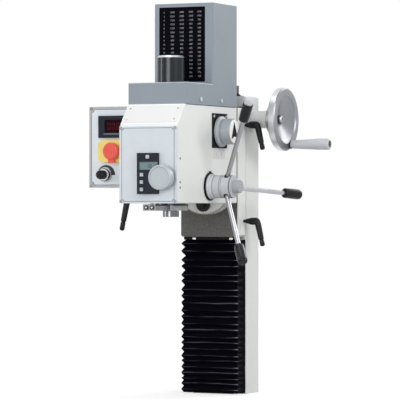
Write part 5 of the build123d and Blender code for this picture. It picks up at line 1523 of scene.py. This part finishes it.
class MILL_OT_dress_cover(Operator):
    """Black plate with a plain table of numbers on the motor cover"""

    bl_idname = "mill.dress_cover"
    bl_label = "Dress motor cover"

    def execute(self, context):
        face = front_face(COVER_FRONT)
        x_span, z_span = (-0.0517, 0.0462), (0.6124, 0.7577)
        thick = 0.0003
        row_height = 0.0078
        shape = bmesh.new()
        sheet(shape, face, rounded(x_span, z_span, 0.0015), thick)
        left, right = x_span[0] + 0.004, x_span[1] - 0.004
        top = z_span[1] - 0.006
        for share, words in TABLE_COLUMNS:
            x = left + (right - left) * share
            for row, text in enumerate(words.split()):
                spot = shifted(face, x, top - (row + 0.5) * row_height, thick)
                numerals(shape, text, spot, 0.0047, 0.00006, 1)
        plate = Finish("table_plate", (0.0022, 0.0022, 0.0048), 0.4, edge=0.0002)
        plate.grain(2500.0, 0.00001, 0.8, 0.06).set(Specular_IOR_Level=0.02)
        ink = ink_and_shade_finish("table_ink", (0.33, 0.33, 0.36))
        add_piece("number_table", shape, [plate, ink], "head")
        return {"FINISHED"}


def way_wipers():
    """Two rubber wipers on the saddle's top, beside the way."""
    _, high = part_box("saddle")
    inner, outer = 0.0455, 0.0618
    spot = place(Vector((0, 0, high.z)), Z_AXIS, Y_AXIS)
    shape = bmesh.new()
    for x_span in ((-outer, -inner), (inner, outer)):
        sheet(shape, spot, rounded(x_span, (-0.0440, -0.0325), 0.0015), 0.0028)
    rubber = moulded("wiper_rubber", colours().black, 0.6)
    add_piece("way_wipers", shape, [rubber], "saddle_slide")


def bracket_screws():
    """Two socket screws in the depth bracket's front, with pale plugs in their recesses as painted
    highlights.
    """
    low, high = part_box("depth_bracket")
    head = [
        (0.0042, 0.0),
        (0.0042, 0.0026),
        (0.0039, 0.0030),
        (hexagon(0.0024), 0.0030),
        (hexagon(0.0024), 0.0008),
    ]
    shape = bmesh.new()
    for x in (-0.0058, 0.0066):
        spot = place(Vector((x, low.y, (low.z + high.z) / 2)), -Y_AXIS)
        rings(shape, spot, head, 48, 0)
        # Painted highlight: a pale plug fills each recess, standing in for the bright centre of the
        # screw
        rings(shape, spot, [(0.0021, 0.0008), (0.0021, 0.0024), (0.0017, 0.0027)], 32, 1)
    dark = Finish("bracket_screws", (0.05, 0.05, 0.052), 0.36, 0.6, edge=0.0003)
    dark.grain(*SCREW_GRAIN).worn(0.4, (0.2, 0.2, 0.2), 0.3)
    pale = Finish("screw_recess_highlights", (0.72, 0.72, 0.72), 0.4, 0.3, edge=0.0002)
    pale.grain(2500.0, 0.00001, 0.85, 0.1)
    add_piece("bracket_screws", shape, [dark, pale], "quill_set")


def tilt_scale():
    """Marks on the part of the tilt flange that shows below the head."""
    shape = bmesh.new()
    for degrees in range(-45, 46, 5):
        turn = math.radians(degrees - 90)
        out = Vector((math.cos(turn), 0.0, math.sin(turn)))
        tip = TILT + out * (FLANGE_RADIUS + 0.0012)
        tip.y = FLANGE_FRONT - 0.00005
        if tip.z > HEAD_UNDERSIDE - 0.0002:
            continue
        tall = 0.0042 if degrees % 15 == 0 else 0.0026
        facing = place(tip, -Y_AXIS, -out)
        box(shape, facing, (-0.00016, 0.00016), (0.0, tall), (0.0, 0.00008))
    ink = ink_and_shade_finish("tilt_ink", (0.05, 0.05, 0.055))
    add_piece("tilt_scale", shape, [ink], "head")


class MILL_OT_dress_slide(Operator):
    """Wipers, bracket screws and the tilt scale"""

    bl_idname = "mill.dress_slide"
    bl_label = "Dress slide"

    def execute(self, context):
        way_wipers()
        bracket_screws()
        tilt_scale()
        return {"FINISHED"}


WHITE = (1.0, 1.0, 1.0, 1.0)
FLOOR_GREY = (0.45, 0.45, 0.45, 1.0)
# Name, place, aim, watts, width and height of each soft lamp
LAMPS = (
    ("key_lamp", (3.1, -1.4, 1.9), (0.0, -0.15, 0.45), 56.0, 1.6, 1.6),
    ("side_lamp", (-2.8, -1.8, 1.2), (0.0, -0.15, 0.45), 32.0, 0.5, 2.4),
    ("back_lamp", (1.2, 2.6, 1.95), (0.14, 0.0, 0.5), 44.0, 2.0, 1.6),
    ("top_lamp", (-0.35, -0.75, 2.9), (0.1, -0.2, 0.5), 15.0, 1.0, 1.0),
    ("front_lamp", (0.20, -3.4, 0.75), (0.0, -0.15, 0.5), 36.0, 1.4, 1.2),
)


def add_lamp(name, spot, target, watts, width, height):
    """A soft area lamp."""
    data = bpy.data.lights.new(name, "AREA")
    data.shape = "RECTANGLE"
    data.size = width
    data.size_y = height
    data.energy = watts
    lamp = bpy.data.objects.new(name, data)
    lamp.location = spot
    lamp.rotation_euler = (Vector(target) - Vector(spot)).to_track_quat("-Z", "Y").to_euler()
    bpy.context.scene.collection.objects.link(lamp)


def add_camera():
    """Camera at the photograph's place: level, and 25 degrees to the right of the front."""
    data = bpy.data.cameras.new("photo_camera")
    data.sensor_width = 36.0
    data.lens = 243.0
    data.clip_end = 100.0
    camera = bpy.data.objects.new("photo_camera", data)
    camera.location = (2.2397, -4.9139, 0.3838)
    camera.rotation_euler = (math.radians(90), 0.0, math.radians(25))
    bpy.context.scene.collection.objects.link(camera)
    bpy.context.scene.camera = camera


def shown_rays(tree):
    """One for rays that show the surroundings: camera, glossy and transmission rays."""
    path = add_node(tree, "ShaderNodeLightPath").outputs
    seen = math_node(tree, "MAXIMUM", path["Is Camera Ray"], path["Is Glossy Ray"])
    return math_node(tree, "MAXIMUM", seen, path["Is Transmission Ray"])


def add_floor():
    """Plain pale floor that glows a little more further out where it is seen."""
    shape = bmesh.new()
    bmesh.ops.create_grid(shape, x_segments=2, y_segments=2, size=200.0)
    mesh = bpy.data.meshes.new("floor")
    shape.to_mesh(mesh)
    shape.free()
    material = bpy.data.materials.new("pale_floor")
    material.use_nodes = True
    tree = material.node_tree
    tree.nodes.clear()
    outward = map_range(tree, vector_node(tree, "LENGTH", object_coords(tree)), 0.4, 3.0)
    level = math_node(tree, "ADD", math_node(tree, "MULTIPLY", outward, 0.22), 0.62)
    strength = math_node(tree, "MULTIPLY", shown_rays(tree), level)
    glow = add_node(tree, "ShaderNodeEmission", {"Color": WHITE, "Strength": strength})
    diffuse = add_node(tree, "ShaderNodeBsdfDiffuse", {"Color": FLOOR_GREY})
    both = add_node(tree, "ShaderNodeAddShader", {0: diffuse.outputs[0], 1: glow.outputs[0]})
    add_node(tree, "ShaderNodeOutputMaterial", {"Surface": both.outputs[0]})
    mesh.materials.append(material)
    floor = bpy.data.objects.new("floor", mesh)
    bpy.context.scene.collection.objects.link(floor)


def add_surroundings():
    """White all round where it is seen, a soft even light elsewhere."""
    world = bpy.data.worlds.new("studio")
    world.use_nodes = True
    bpy.context.scene.world = world
    tree = world.node_tree
    tree.nodes.clear()
    soft = add_node(tree, "ShaderNodeBackground", {"Color": WHITE, "Strength": 0.38})
    seen = add_node(tree, "ShaderNodeBackground", {"Color": WHITE, "Strength": 1.0})
    inputs = {0: shown_rays(tree), 1: soft.outputs[0], 2: seen.outputs[0]}
    mix = add_node(tree, "ShaderNodeMixShader", inputs)
    add_node(tree, "ShaderNodeOutputWorld", {"Surface": mix.outputs[0]})


class MILL_OT_set_stage(Operator):
    """Pale floor, soft lamps, white surroundings and the camera"""

    bl_idname = "mill.set_stage"
    bl_label = "Set stage"

    def execute(self, context):
        context.scene.view_settings.view_transform = "Standard"
        add_floor()
        add_surroundings()
        for lamp in LAMPS:
            add_lamp(*lamp)
        add_camera()
        return {"FINISHED"}


OPERATORS = (
    MILL_OT_paint_castings,
    MILL_OT_finish_metals,
    MILL_OT_finish_plastics,
    MILL_OT_build_bellows,
    MILL_OT_dress_front,
    MILL_OT_dress_controls,
    MILL_OT_dress_selector,
    MILL_OT_dress_feed,
    MILL_OT_dress_levers,
    MILL_OT_dress_handwheel,
    MILL_OT_dress_cover,
    MILL_OT_dress_slide,
    MILL_OT_set_stage,
)


class VIEW3D_PT_mill_drill(Panel):
    """Settings and steps of the dressing"""

    bl_label = "Mill drill"
    bl_idname = "VIEW3D_PT_mill_drill"
    bl_space_type = "VIEW_3D"
    bl_region_type = "UI"
    bl_category = "Mill drill"

    def draw(self, context):
        for settings in (context.scene.mill_sizes, context.scene.mill_colours):
            column = self.layout.column()
            for name in settings.__annotations__:
                column.prop(settings, name)
        for operator in OPERATORS:
            self.layout.operator(operator.bl_idname)


CLASSES = (MillColours, MillSizes, *OPERATORS, VIEW3D_PT_mill_drill)


def register():
    for cls in CLASSES:
        bpy.utils.register_class(cls)
    bpy.types.Scene.mill_colours = PointerProperty(type=MillColours)
    bpy.types.Scene.mill_sizes = PointerProperty(type=MillSizes)


def unregister():
    del bpy.types.Scene.mill_sizes
    del bpy.types.Scene.mill_colours
    for cls in reversed(CLASSES):
        bpy.utils.unregister_class(cls)


def main():
    """Dresses the frame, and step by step."""
    register()
    for make in (
        make_edge_wear,
        make_surface_grain,
        make_turned_marks,
        make_brushed_lines,
        make_settled_dust,
    ):
        make()
    for operator in OPERATORS:
        group, name = operator.bl_idname.split(".")
        getattr(getattr(bpy.ops, group), name)()


if __name__ == "__main__":
    main()
